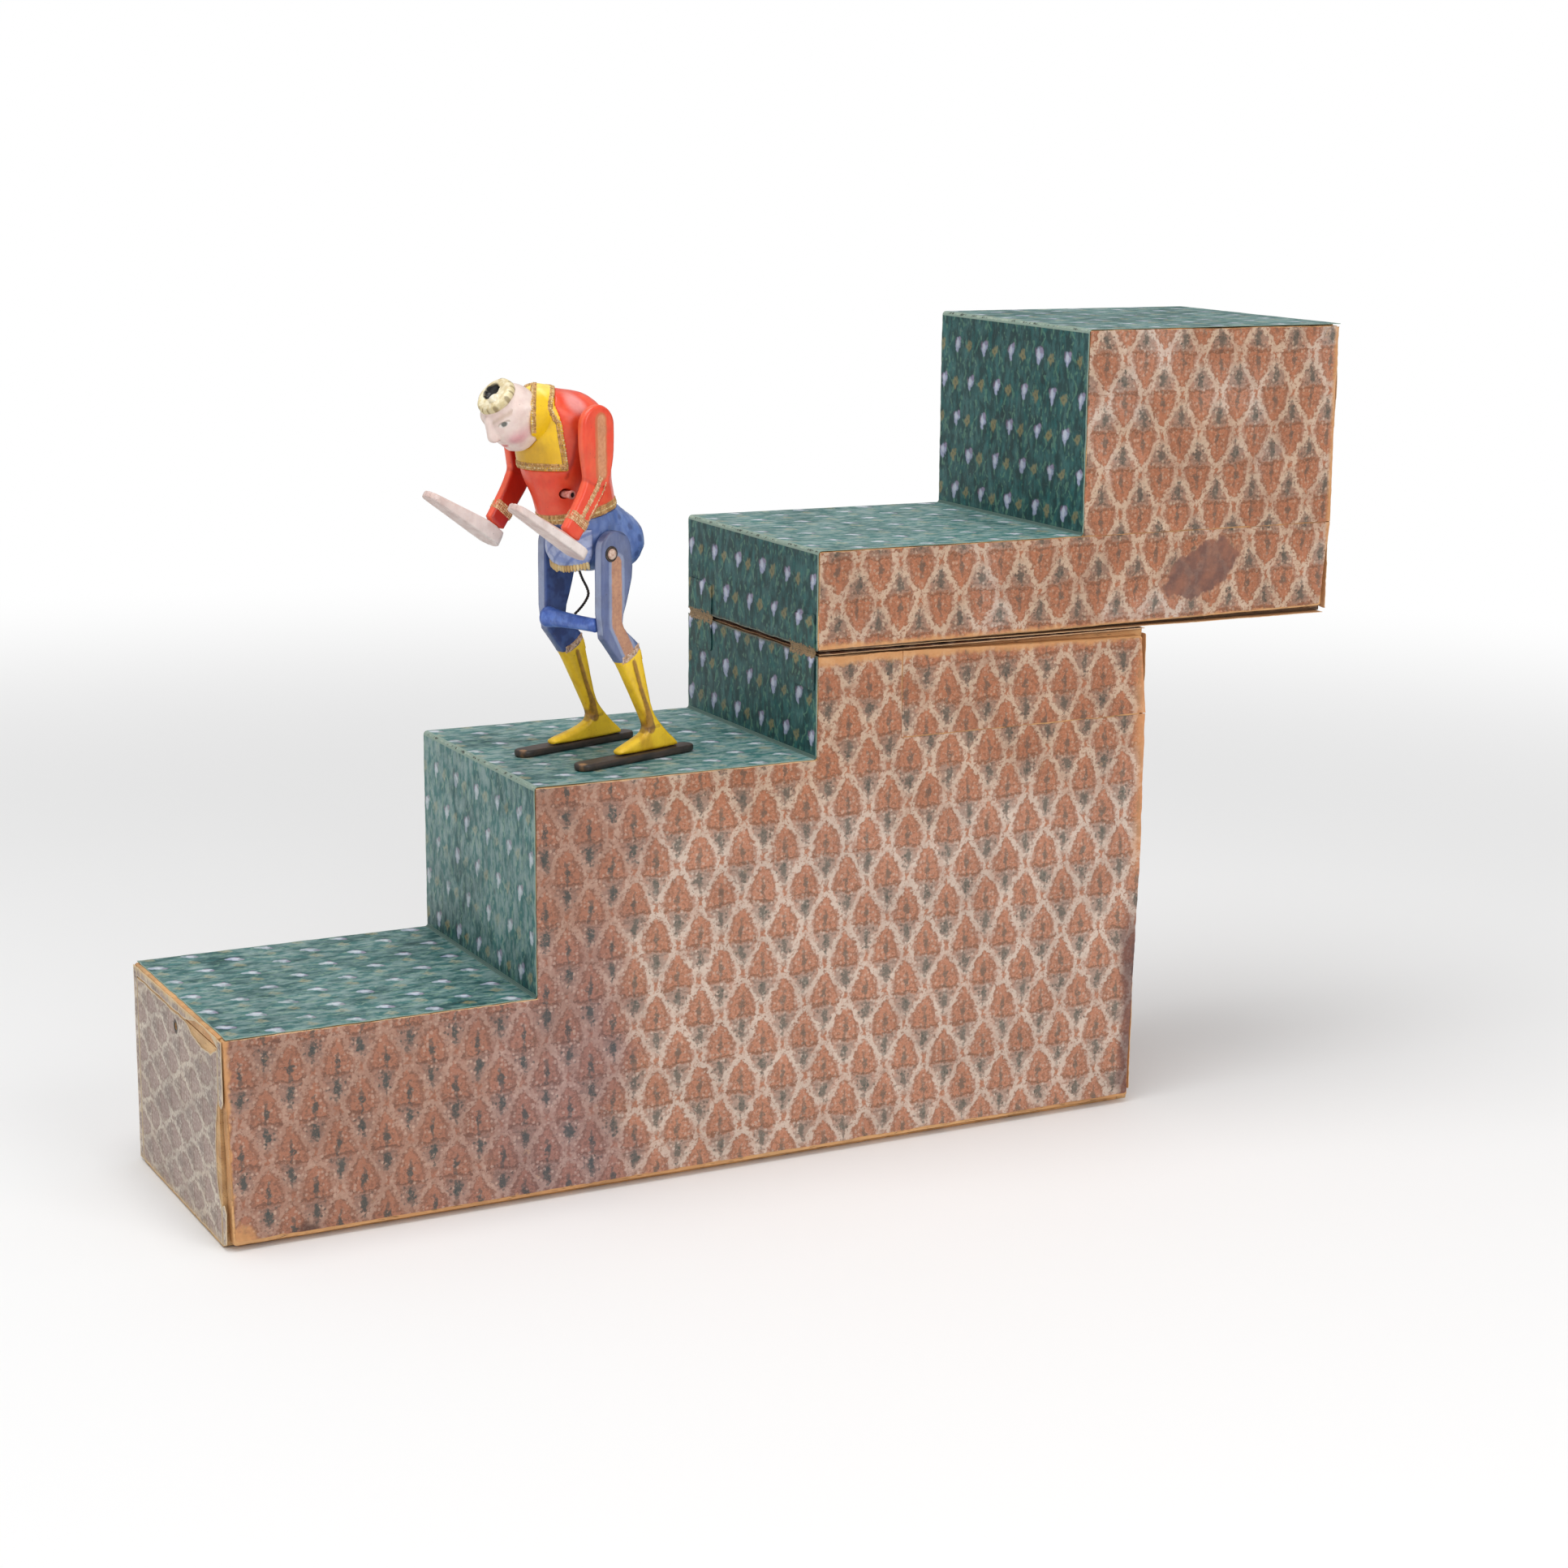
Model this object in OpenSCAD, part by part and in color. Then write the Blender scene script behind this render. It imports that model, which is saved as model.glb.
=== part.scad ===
// Folding staircase box with a jointed tumbling acrobat.
// X runs up the stairs, Y across them, Z is up. The origin is the centre of the base's underside.

/* [Staircase] */
// Depth of the box across the stairs, papers included
depth = 85; // [65:1:110]
// Length of the first tread
tread_1_l = 90.5; // [80:0.5:115]
// Length of the second tread
tread_2_l = 87.5; // [80:0.5:110]
// Length of the column behind the second tread
column_l = 114; // [90:1:140]
// Height of the first rise, which is also the top of the drawer space
rise_1 = 60; // [50:1:75]
// Height of the second rise
rise_2 = 60; // [50:1:75]
// Height of riser 3 below the folding seam
seam_h = 30; // [22:1:40]
// Open gap at the front of the folding seam
seam_gap = 0.8; // [0.5:0.1:1.5]
// Tilt of the upper part, which leans back onto the column
seat_tilt = 0.25; // [0:0.05:0.3]
// Free length between the nested risers when the box is closed
nest_x = 1.5; // [1:0.5:4]
// Free height over the treads when the box is closed
nest_z = 0.4; // [0.3:0.1:1]
// How far the folded upper part reaches past the drawer front
end_overhang = 3; // [0:0.5:6]

/* [Boards and papers] */
// Thickness of the side, floor and end boards
board_t = 3.5; // [2.5:0.5:5]
// Thickness of the tread and riser boards
step_t = 3; // [2:0.5:4]
// Thickness of the printed papers with their glue
paper_t = 0.3; // [0.2:0.1:0.5]
// Height of the paper's edge above the table
paper_lift = 0.6; // [0.4:0.1:1]

/* [Hinge] */
// Width of each linen hinge leaf
leaf_w = 17; // [10:1:25]
// Length of a leaf above or below the seam
leaf_l = 11; // [6:1:16]
// Thickness of the linen
leaf_t = 0.3; // [0.2:0.1:0.5]
// Distance of a leaf from the side of the box
leaf_inset = 1; // [0.5:0.5:4]
// Free space between the leaves when the box is closed
leaf_clear = 0.2; // [0.1:0.1:0.4]

/* [Drawer] */
// Length of the drawer
drawer_l = 200; // [150:5:240]
// Play of the drawer on each side
drawer_play = 0.5; // [0.3:0.1:1]
// Play under and over the drawer
drawer_gap = 0.3; // [0.2:0.1:0.6]
// Thickness of the drawer's own boards
drawer_t = 2.5; // [2:0.5:4]
// Height of the guide battens over the drawer
guide_h = 6; // [4:1:10]
// Width of the guide battens
guide_w = 4; // [3:1:8]
// Length of the stop behind the drawer
stop_l = 6; // [4:1:10]
// Height of the stop behind the drawer
stop_h = 4; // [3:1:8]
// Radius of the hole of the lost pull
pull_r = 1; // [0.8:0.1:2]
// Distance of that hole below the first tread
pull_drop = 7.9; // [6:0.1:12]

/* [Acrobat, place] */
// Distance from the back of the second tread to the middle of the skis
stand_x = 51.8; // [40:0.1:56]
// Distance of the skis' middle from the middle of the stairs, towards the near side
stand_y = 9.8; // [0:0.1:14]
// Angle by which the acrobat is turned on the step
stand_turn = 18.2; // [0:0.1:22]

/* [Acrobat, legs] */
// Height of the hip pin above the step
hip_h = 60.3; // [55:0.1:66]
// Distance of the hip pin ahead of the skis' middle
hip_fore = 9.6; // [8:0.1:10.5]
// Height of the knee crossbar's axis
knee_h = 40; // [37:0.5:42]
// Half of the distance between the middles of the legs
leg_y = 12; // [11:0.5:14]
// Thickness of the leg boards
leg_t = 3.6; // [2.5:0.1:4]
// Reach of the near toe ahead of the skis' middle
toe_near = 6.4; // [5:0.1:11]
// Reach of the far toe ahead of the skis' middle
toe_far = 10.2; // [5:0.1:11]
// Length of a ski
ski_l = 44.3; // [36:0.1:54]
// Width of a ski
ski_w = 6; // [4:0.5:8]
// Thickness of a ski
ski_t = 2; // [1.5:0.1:2.5]
// Distance of a ski's middle outside the middle of its leg
ski_out = 0.8; // [0:0.1:1.2]
// Radius of the knee crossbar
crossbar_r = 2.5; // [1.5:0.1:3]
// Radius of the hip pin
hip_pin_r = 1.1; // [0.8:0.05:1.5]
// Radius of the hip pin's heads
hip_head_r = 1.9; // [1.5:0.1:2.4]
// Thickness of the hip pin's heads
hip_head_t = 1; // [0.5:0.1:1.2]
// Radius of the check thread
thread_r = 0.35; // [0.25:0.05:0.5]

/* [Acrobat, torso and arms] */
// Height of the shoulder pin above the hip pin
shoulder_up = 36.3; // [33:0.1:40]
// Distance of the shoulder pin ahead of the hip pin
shoulder_fore = 7.4; // [6:0.1:11]
// Radius of the shoulder pin
shoulder_pin_r = 1; // [0.8:0.05:1.4]
// Length of an upper arm
upper_arm_l = 16; // [13:0.5:19]
// Length of a forearm
forearm_l = 17.3; // [13:0.1:20]
// Width of an arm at the shoulder
arm_w = 12; // [8:0.5:13]
// Width of an arm at the wrist
wrist_w = 6.6; // [5:0.1:8]
// Thickness of the arm boards
arm_t = 3; // [2:0.1:4]
// Length of a hand
hand_l = 30; // [24:0.5:37]
// Width of a hand, all of it outside the arm's inner face
hand_w = 7.5; // [5:0.5:9]
// Thickness of a hand's sole at the heel
hand_t = 2.6; // [1.5:0.1:3]
// Thickness of a hand's sole at the fingertips
hand_tip_t = 1.8; // [1:0.1:3]
// Radius of the quicksilver tube
tube_r = 3; // [2:0.1:3.4]
// Wall of the quicksilver tube
tube_wall = 0.7; // [0.4:0.1:1]
// Share of the tube that the quicksilver fills
charge_share = 0.45; // [0.2:0.05:0.6]
// Clearance around the pins
pin_fit = 0.05; // [0.02:0.01:0.1]
// Thickness of the arm board outside each end of the shoulder pin
pin_cover = 0.8; // [0.5:0.1:1.2]
// Free space between pieces that move past each other
swing_gap = 0.5; // [0.3:0.1:0.8]

/* [Hidden] */

// Small space between a board and what slides or folds past its end
slack = 0.5;
// Length by which a cutting solid passes the solid that it cuts
over = 1;
// A size larger than any piece, for half-space cuts
huge = 200;
// Segments of the round pieces that a hull blends
hull_fn = 32;

// Staircase outline, from the left end of the base
tread_1_z = rise_1;
tread_2_z = rise_1 + rise_2;
seam_z = tread_2_z + seam_h;
step_1_x = tread_1_l;
step_2_x = tread_1_l + tread_2_l;
base_l = step_2_x + column_l;
inner_y = depth / 2 - paper_t;
wall_y = inner_y - board_t;

// Hinge axis, just ahead of the linen on riser 3
hinge_x = step_2_x - leaf_t - leaf_clear / 2;
hinge_z = seam_z + seam_gap / 2;

// Upper part at rest, before its tilt
upper_z = seam_z + seam_gap;
tread_3_z = 2 * hinge_z - tread_2_z - nest_z - seam_gap;
tread_4_z = 2 * hinge_z - tread_1_z - nest_z;
step_3_x = 2 * hinge_x - step_1_x + nest_x + leaf_t + leaf_clear / 2;
upper_end_x = 2 * hinge_x + end_overhang;

upper_outline = [
    [step_2_x, upper_z], [upper_end_x, upper_z], [upper_end_x, tread_4_z],
    [step_3_x, tread_4_z], [step_3_x, tread_3_z], [step_2_x, tread_3_z]
];

// Drawer space under the first two steps
floor_top = board_t;
tunnel_top = tread_1_z - paper_t - step_t;
front_t = board_t;
drawer_y = wall_y - drawer_play;
drawer_z = floor_top + drawer_gap;
drawer_h = tunnel_top - guide_h - 2 * drawer_gap - drawer_z;
pull_z = tread_1_z - pull_drop;

// Acrobat, in its own axes: X towards its back, Y towards its far side, Z up from the step
stand_gap = 0.05;
knee_x = -12.4;
leg_in = leg_y - leg_t / 2;
leg_out = leg_y + leg_t / 2;
arm_in = leg_out + swing_gap;
torso_half = leg_in - swing_gap;
shoulder = [-hip_fore - shoulder_fore, hip_h + shoulder_up];
elbow = shoulder + upper_arm_l * [0.025, -1];
forearm_dir = [-0.625, -0.781];
wrist = elbow + forearm_l * forearm_dir;
hand_dir = [-0.836, 0.549];
hand_up = [0.549, 0.836];
hand_heel = wrist + [2.4, -6.6];
hand_tip_r = hand_w * 0.4;
pin_end_y = leg_out + hip_head_t;
shoulder_pin_y = arm_in + arm_t - pin_cover;

// Torso: the seat's middle, the hem of the jacket and the axis of the head, which leans ahead
seat_mid = [-hip_fore + 12.6, hip_h + 1.4];
waist_mid = [-hip_fore + 0.2, hip_h + 10.7];
waist_tilt = 31;
hem_mid = [-hip_fore - 1.6, hip_h + 9.9];
hem_tilt = 10.5;
head_lean = 48;
crown = [shoulder[0] - 23.5, shoulder[1] + 9.2];
head_axis = [-sin(head_lean), cos(head_lean)];
face_dir = [-cos(head_lean), -sin(head_lean)];
head_r = 8.4;
yoke_back_x = shoulder[0] - 1.1;
yoke_splay = 0.88; // how far the yoke's and the collar's edges draw ahead per mm across
yoke_side_x = shoulder[0] - 4.6;
yoke_side_slope = 0.2;
yoke_foot_z = shoulder[1] - 12.6;
yoke_over_z = shoulder[1] + 2.9;
yoke_proud = 0.6;
collar_x = shoulder[0] - 9.7;
collar_z = shoulder[1] + 2.5;
collar_half = 8.7;
collar_up = 7.6;
tube_foot = [seat_mid[0] - 0.2, seat_mid[1] + 1.5];
tube_run = crown - tube_foot;
tube_lean = atan2(tube_run[0], tube_run[1]);
cork_l = 3;
crown_cover = 1.6;
tube_l = norm(tube_run) - cork_l - crown_cover;
plug_r = 1.6;
plug_h = 0.9;
peg_r = 1.2;
peg_at = shoulder + [-3.8, -19];
peg_end_y = 9.4;

// The apron starts ahead of the hip pin and ends this far below it.
apron_fore = 2.6;
apron_drop = 6.6;

// The check thread's run from the crotch to the crossbar, as [back, across, up]
thread_run = [[-9.2, 0, 54], [-8, 0.1, 51.6], [-6.3, 0.2, 49], [-5.7, 0.2, 47], [-6.8, 0.1, 45.2],
              [-8.7, 0, 43.5], [-11, 0, 41.6]];

module at_left_end() {
    translate([-base_l / 2, 0, 0]) children();
}

// The upper part's pieces are drawn level and leaned back about the hinge axis.
module leaned_back() {
    at_left_end()
        translate([hinge_x, 0, hinge_z]) rotate([0, seat_tilt, 0]) translate([-hinge_x, 0, -hinge_z])
            children();
}

module block(x0, x1, y0, y1, z0, z1) {
    translate([x0, y0, z0]) cube([x1 - x0, y1 - y0, z1 - z0]);
}

// An outline in the X-Z plane, given a thickness from y0 to y1
module slab(points, y0, y1) {
    translate([0, y1, 0]) rotate([90, 0, 0]) linear_extrude(y1 - y0) polygon(points);
}

// side is -1 for the near side of the box and 1 for the far one.
module side_board(points, side) {
    slab(points, side > 0 ? wall_y : -inner_y, side > 0 ? inner_y : -wall_y);
}

module side_paper(points, side) {
    slab(points, side > 0 ? inner_y : -depth / 2, side > 0 ? depth / 2 : -inner_y);
}

// Base part

base_board_outline = [
    [0, 0], [base_l - paper_t, 0], [base_l - paper_t, seam_z - paper_t],
    [step_2_x + paper_t, seam_z - paper_t], [step_2_x + paper_t, tread_2_z - paper_t],
    [step_1_x + paper_t, tread_2_z - paper_t], [step_1_x + paper_t, tread_1_z - paper_t],
    [0, tread_1_z - paper_t]
];

base_paper_outline = [
    [0, paper_lift], [base_l, paper_lift], [base_l, seam_z], [step_2_x, seam_z],
    [step_2_x, tread_2_z], [step_1_x, tread_2_z], [step_1_x, tread_1_z], [0, tread_1_z]
];

module base_side_near() {
    color("peru") at_left_end() side_board(base_board_outline, -1);
}

module base_side_far() {
    color("peru") at_left_end() side_board(base_board_outline, 1);
}

module base_floor() {
    color("burlywood") at_left_end()
        block(front_t + slack, base_l - paper_t - board_t, -wall_y, wall_y, 0, floor_top);
}

module base_end() {
    color("burlywood") at_left_end()
        block(base_l - paper_t - board_t, base_l - paper_t, -wall_y, wall_y, 0, seam_z - paper_t - step_t);
}

module tread_1() {
    color("burlywood") at_left_end()
        block(0, step_1_x + paper_t + step_t, -wall_y, wall_y, tunnel_top, tread_1_z - paper_t);
}

module riser_2() {
    color("burlywood") at_left_end()
        block(step_1_x + paper_t, step_1_x + paper_t + step_t, -wall_y, wall_y,
              tread_1_z - paper_t, tread_2_z - paper_t - step_t);
}

module tread_2() {
    color("burlywood") at_left_end()
        block(step_1_x + paper_t, step_2_x + paper_t + step_t, -wall_y, wall_y,
              tread_2_z - paper_t - step_t, tread_2_z - paper_t);
}

module riser_3_lower() {
    color("burlywood") at_left_end()
        block(step_2_x + paper_t, step_2_x + paper_t + step_t, -wall_y, wall_y,
              tread_2_z - paper_t, seam_z - paper_t - step_t);
}

module column_top() {
    color("burlywood") at_left_end()
        block(step_2_x + paper_t, base_l - paper_t, -wall_y, wall_y,
              seam_z - paper_t - step_t, seam_z - paper_t);
}

// Two battens that stop the drawer from tipping, and the stop behind it
module drawer_guides() {
    color("tan") at_left_end() {
        for (y0 = [-wall_y, wall_y - guide_w])
            block(front_t + slack, drawer_l, y0, y0 + guide_w, tunnel_top - guide_h, tunnel_top);
        block(drawer_l + slack, drawer_l + slack + stop_l, -wall_y, wall_y, floor_top, floor_top + stop_h);
    }
}

module base_paper_near() {
    color("sienna") at_left_end() side_paper(base_paper_outline, -1);
}

module base_paper_far() {
    color("sienna") at_left_end() side_paper(base_paper_outline, 1);
}

module base_paper_end() {
    color("sienna") at_left_end()
        block(base_l - paper_t, base_l, -inner_y, inner_y, paper_lift, seam_z - paper_t);
}

module column_top_paper() {
    color("sienna") at_left_end()
        block(step_2_x + paper_t, base_l, -inner_y, inner_y, seam_z - paper_t, seam_z);
}

// One green sheet over tread 1, riser 2, tread 2 and the lower half of riser 3
module stair_paper_lower() {
    color("teal") at_left_end()
        slab([
            [0, tread_1_z - paper_t], [step_1_x + paper_t, tread_1_z - paper_t],
            [step_1_x + paper_t, tread_2_z - paper_t], [step_2_x + paper_t, tread_2_z - paper_t],
            [step_2_x + paper_t, seam_z], [step_2_x, seam_z], [step_2_x, tread_2_z],
            [step_1_x, tread_2_z], [step_1_x, tread_1_z], [0, tread_1_z]
        ], -inner_y, inner_y);
}

// side is -1 for the near leaf and 1 for the far one
module hinge_leaf(side, z0, z1) {
    y_out = side * (depth / 2 - leaf_inset);
    y_in = side * (depth / 2 - leaf_inset - leaf_w);
    block(step_2_x - leaf_t, step_2_x, min(y_out, y_in), max(y_out, y_in), z0, z1);
}

module leaf_lower_near() {
    color("darkkhaki") at_left_end() hinge_leaf(-1, seam_z - leaf_l, seam_z);
}

module leaf_lower_far() {
    color("darkkhaki") at_left_end() hinge_leaf(1, seam_z - leaf_l, seam_z);
}

// Drawer

module drawer_face(x0, x1) {
    difference() {
        block(x0, x1, -drawer_y, drawer_y, slack, tunnel_top - slack);
        translate([x0 - over, 0, pull_z]) rotate([0, 90, 0]) cylinder(h = x1 - x0 + 2 * over, r = pull_r, $fn = 32);
    }
}

module drawer_front() {
    color("burlywood") at_left_end() drawer_face(paper_t, front_t);
}

module drawer_paper() {
    color("rosybrown") at_left_end() drawer_face(0, paper_t);
}

module drawer_floor() {
    color("tan") at_left_end()
        block(front_t + slack, drawer_l, -drawer_y + drawer_t, drawer_y - drawer_t, drawer_z, drawer_z + drawer_t);
}

module drawer_side(y0) {
    block(front_t, drawer_l, y0, y0 + drawer_t, drawer_z, drawer_z + drawer_h);
}

module drawer_side_near() {
    color("tan") at_left_end() drawer_side(-drawer_y);
}

module drawer_side_far() {
    color("tan") at_left_end() drawer_side(drawer_y - drawer_t);
}

module drawer_back() {
    color("tan") at_left_end()
        block(drawer_l - drawer_t, drawer_l, -drawer_y + drawer_t, drawer_y - drawer_t,
              drawer_z + drawer_t, drawer_z + drawer_h);
}

// Upper part

upper_board_outline = [
    [step_2_x + paper_t, upper_z + paper_t], [upper_end_x - paper_t, upper_z + paper_t],
    [upper_end_x - paper_t, tread_4_z - paper_t], [step_3_x + paper_t, tread_4_z - paper_t],
    [step_3_x + paper_t, tread_3_z - paper_t], [step_2_x + paper_t, tread_3_z - paper_t]
];

module upper_side_near() {
    color("peru") leaned_back() side_board(upper_board_outline, -1);
}

module upper_side_far() {
    color("peru") leaned_back() side_board(upper_board_outline, 1);
}

module upper_floor() {
    color("burlywood") leaned_back()
        block(step_2_x + paper_t, upper_end_x - paper_t, -wall_y, wall_y,
              upper_z + paper_t, upper_z + paper_t + step_t);
}

module riser_3_upper() {
    color("burlywood") leaned_back()
        block(step_2_x + paper_t, step_2_x + paper_t + step_t, -wall_y, wall_y,
              upper_z + paper_t + step_t, tread_3_z - paper_t - step_t);
}

module tread_3() {
    color("burlywood") leaned_back()
        block(step_2_x + paper_t, step_3_x + paper_t + step_t, -wall_y, wall_y,
              tread_3_z - paper_t - step_t, tread_3_z - paper_t);
}

module riser_4() {
    color("burlywood") leaned_back()
        block(step_3_x + paper_t, step_3_x + paper_t + step_t, -wall_y, wall_y,
              tread_3_z - paper_t, tread_4_z - paper_t - step_t);
}

module tread_4() {
    color("burlywood") leaned_back()
        block(step_3_x + paper_t, upper_end_x - paper_t, -wall_y, wall_y,
              tread_4_z - paper_t - step_t, tread_4_z - paper_t);
}

module upper_end() {
    color("burlywood") leaned_back()
        block(upper_end_x - paper_t - board_t, upper_end_x - paper_t, -wall_y, wall_y,
              upper_z + paper_t + step_t, tread_4_z - paper_t - step_t);
}

module upper_paper_near() {
    color("sienna") leaned_back() side_paper(upper_outline, -1);
}

module upper_paper_far() {
    color("sienna") leaned_back() side_paper(upper_outline, 1);
}

module upper_paper_end() {
    color("sienna") leaned_back()
        block(upper_end_x - paper_t, upper_end_x, -inner_y, inner_y, upper_z + paper_t, tread_4_z - paper_t);
}

module upper_paper_under() {
    color("sienna") leaned_back()
        block(step_2_x + paper_t, upper_end_x, -inner_y, inner_y, upper_z, upper_z + paper_t);
}

// One green sheet over the upper half of riser 3, tread 3, riser 4 and tread 4
module stair_paper_upper() {
    color("teal") leaned_back()
        slab([
            [step_2_x, upper_z], [step_2_x + paper_t, upper_z], [step_2_x + paper_t, tread_3_z - paper_t],
            [step_3_x + paper_t, tread_3_z - paper_t], [step_3_x + paper_t, tread_4_z - paper_t],
            [upper_end_x, tread_4_z - paper_t], [upper_end_x, tread_4_z], [step_3_x, tread_4_z],
            [step_3_x, tread_3_z], [step_2_x, tread_3_z]
        ], -inner_y, inner_y);
}

module leaf_upper_near() {
    color("darkkhaki") leaned_back() hinge_leaf(-1, upper_z, upper_z + leaf_l);
}

module leaf_upper_far() {
    color("darkkhaki") leaned_back() hinge_leaf(1, upper_z, upper_z + leaf_l);
}

// Acrobat: its pieces are drawn in its own axes and then stood on the second tread.
module on_the_step() {
    at_left_end() translate([step_2_x - stand_x, -stand_y, tread_2_z + stand_gap])
        rotate([0, 0, stand_turn]) children();
}

module across(x, z, y0, y1, r) {
    translate([x, y1, z]) rotate([90, 0, 0]) cylinder(h = y1 - y0, r = r, $fn = 48);
}

// Outline of a leg with its boot and foot, clockwise from the toe
leg_top_r = 5.6;
leg_top = [-7.4, hip_h + 0.7];
function leg_outline(toe) = [
    [0.4 - toe, ski_t], [-toe, ski_t + 1.6], [0.2, ski_t + 3.8], [4.8, 8.4], [-5.6, knee_h - 11.6],
    [-13, knee_h - 2.8],
    for (a = [180:-15:0]) leg_top + leg_top_r * [cos(a), sin(a)],
    [-1.8, hip_h - 5.9], [-5.8, knee_h + 0.5], [-1, knee_h - 4.5], [1.6, knee_h - 6.8],
    [4.9, 19.5], [7.4, 12], [16.6, ski_t + 1.4], [16.6, ski_t]
];

module leg(side) {
    difference() {
        slab(leg_outline(side < 0 ? toe_near : toe_far), side * leg_y - leg_t / 2, side * leg_y + leg_t / 2);
        across(-hip_fore, hip_h, side * leg_y - leg_t, side * leg_y + leg_t, hip_pin_r);
    }
}

module leg_near() {
    color("steelblue") on_the_step() leg(-1);
}

module leg_far() {
    color("steelblue") on_the_step() leg(1);
}

module ski(side) {
    end_x = ski_l / 2 - ski_w / 2;
    translate([0, side * (leg_y + ski_out), 0]) linear_extrude(ski_t) union() {
        translate([-end_x, -ski_w / 2]) square([2 * end_x, ski_w]);
        for (e = [-1, 1])
            translate([e * end_x, 0]) circle(r = ski_w / 2, $fn = 48);
    }
}

module ski_near() {
    color("dimgray") on_the_step() ski(-1);
}

module ski_far() {
    color("dimgray") on_the_step() ski(1);
}

module knee_crossbar() {
    color("royalblue") on_the_step() across(knee_x, knee_h, -leg_in, leg_in, crossbar_r);
}

// Bone pin through both legs, with a flat head at each end
module hip_pin() {
    color("linen") on_the_step() {
        across(-hip_fore, hip_h, -leg_out, leg_out, hip_pin_r);
        for (side = [-1, 1])
            across(-hip_fore, hip_h, side > 0 ? leg_out : -pin_end_y, side > 0 ? pin_end_y : -leg_out, hip_head_r);
    }
}

function unit(v) = v / norm(v);
function along(run, i) = unit(run[min(i + 1, len(run) - 1)] - run[max(i - 1, 0)]);
function ring(run, i, r, sides) = let (u = along(run, i), v = unit(cross(u, [0, 1, 0])), w = cross(u, v))
    [for (k = [0:sides - 1]) run[i] + r * (cos(360 * k / sides) * v + sin(360 * k / sides) * w)];

// A round tube swept along a list of points
module swept(run, r, sides) {
    last = len(run) - 1;
    points = [for (i = [0:last]) each ring(run, i, r, sides)];
    walls = [for (i = [0:last - 1], k = [0:sides - 1], h = [0, 1])
        let (a = i * sides + k, b = i * sides + (k + 1) % sides)
        h == 0 ? [a, a + sides, b] : [b, a + sides, b + sides]];
    caps = [[for (k = [0:sides - 1]) k], [for (k = [sides - 1:-1:0]) last * sides + k]];
    polyhedron(points, concat(walls, caps));
}

module check_thread() {
    color("black") on_the_step() difference() {
        swept(thread_run, thread_r, 8);
        across(knee_x, knee_h, -leg_in, leg_in, crossbar_r);
    }
}

// A lump of the torso: an ellipsoid at (x, z), leaned about the across axis
module lump(p, a, b, c, lean = 0) {
    translate([p[0], 0, p[1]]) rotate([0, lean, 0]) scale([a, b, c]) sphere(r = 1, $fn = hull_fn);
}

// Half-space above a plane through p whose upward normal leans by the angle
module above(p, lean) {
    translate([p[0], 0, p[1]]) rotate([0, lean, 0]) translate([-huge / 2, -huge / 2, 0]) cube(huge);
}

module below(p, lean) {
    translate([p[0], 0, p[1]]) rotate([0, lean, 0]) translate([-huge / 2, -huge / 2, -huge]) cube(huge);
}

// The tube's place: drawn along +Z from its foot in the seat towards the crown
module up_the_tube() {
    translate([tube_foot[0], 0, tube_foot[1]]) rotate([0, tube_lean, 0]) children();
}

module tube_room() {
    up_the_tube() translate([0, 0, -cork_l]) cylinder(h = tube_l + 2 * cork_l, r = tube_r, $fn = 48);
}

module seat_form() {
    hull() {
        lump(seat_mid, 9.4, torso_half, 8.6);
        lump(seat_mid + [-11.6, -0.1], 8.2, torso_half, 7.4);
        lump(waist_mid, 8.8, torso_half - 0.6, 6.4, -waist_tilt);
    }
}

module trousers_seat() {
    color("royalblue") on_the_step() difference() {
        seat_form();
        above(hem_mid, -hem_tilt);
        across(-hip_fore, hip_h, -leg_y, leg_y, hip_pin_r + pin_fit);
        tube_room();
    }
}

shoulder_half = arm_in - swing_gap;
chest = shoulder + [1, -9.8];
neck = shoulder + [-8, 1.8];

module torso_form(grow = 0) {
    hull() {
        lump(hem_mid + [1.2, 1.3], 12.2 + grow, 9.2 + grow, 7 + grow, -hem_tilt);
        lump(chest, 12.2 + grow, 11 + grow, 10 + grow, -20);
        lump(shoulder + [2.2, -1.4], 10.8 + grow, shoulder_half + grow, 10 + grow, -20);
        lump(neck, 5 + grow, 8.6 + grow, 8.8 + grow);
    }
}

// Half of the plan view as a wedge whose point is on the spine; end is where it closes
module wedge(x, end) {
    linear_extrude(huge)
        polygon([[x, 0], [x - yoke_splay * 20, 20], [end, 20], [end, -20], [x - yoke_splay * 20, -20]]);
}

// The part of the torso that the yoke and its bib cover
module yoke_room() {
    rise = 30;
    slab([[-huge, yoke_foot_z], [yoke_side_x, yoke_foot_z],
          [yoke_side_x - yoke_side_slope * rise, yoke_foot_z + rise], [-huge, yoke_foot_z + rise]], -huge, huge);
    translate([0, 0, yoke_over_z]) wedge(yoke_back_x, -huge);
}

// Standing collar round the back of the head
module collar_form() {
    intersection() {
        translate([-60, 0, 0]) rotate([90, 0, 90]) linear_extrude(60)
            polygon([for (i = [0 : 35]) [collar_half * cos(i * 10), collar_z + collar_up * sin(i * 10)]]);
        wedge(collar_x, 0);
    }
}

module jacket() {
    color("orangered") on_the_step() difference() {
        torso_form();
        below(hem_mid, -hem_tilt);
        yoke_room();
        head_form();
        across(shoulder[0], shoulder[1], -arm_in, arm_in, shoulder_pin_r + pin_fit);
        across(peg_at[0], peg_at[1], -huge / 2, -peg_end_y / 2, peg_r);
        tube_room();
    }
}

// Yellow yoke around the neck, with its collar and its bib over the chest
module yoke() {
    color("gold") on_the_step() difference() {
        intersection() {
            union() {
                torso_form(yoke_proud);
                collar_form();
            }
            yoke_room();
        }
        head_form();
        tube_room();
    }
}

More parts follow.
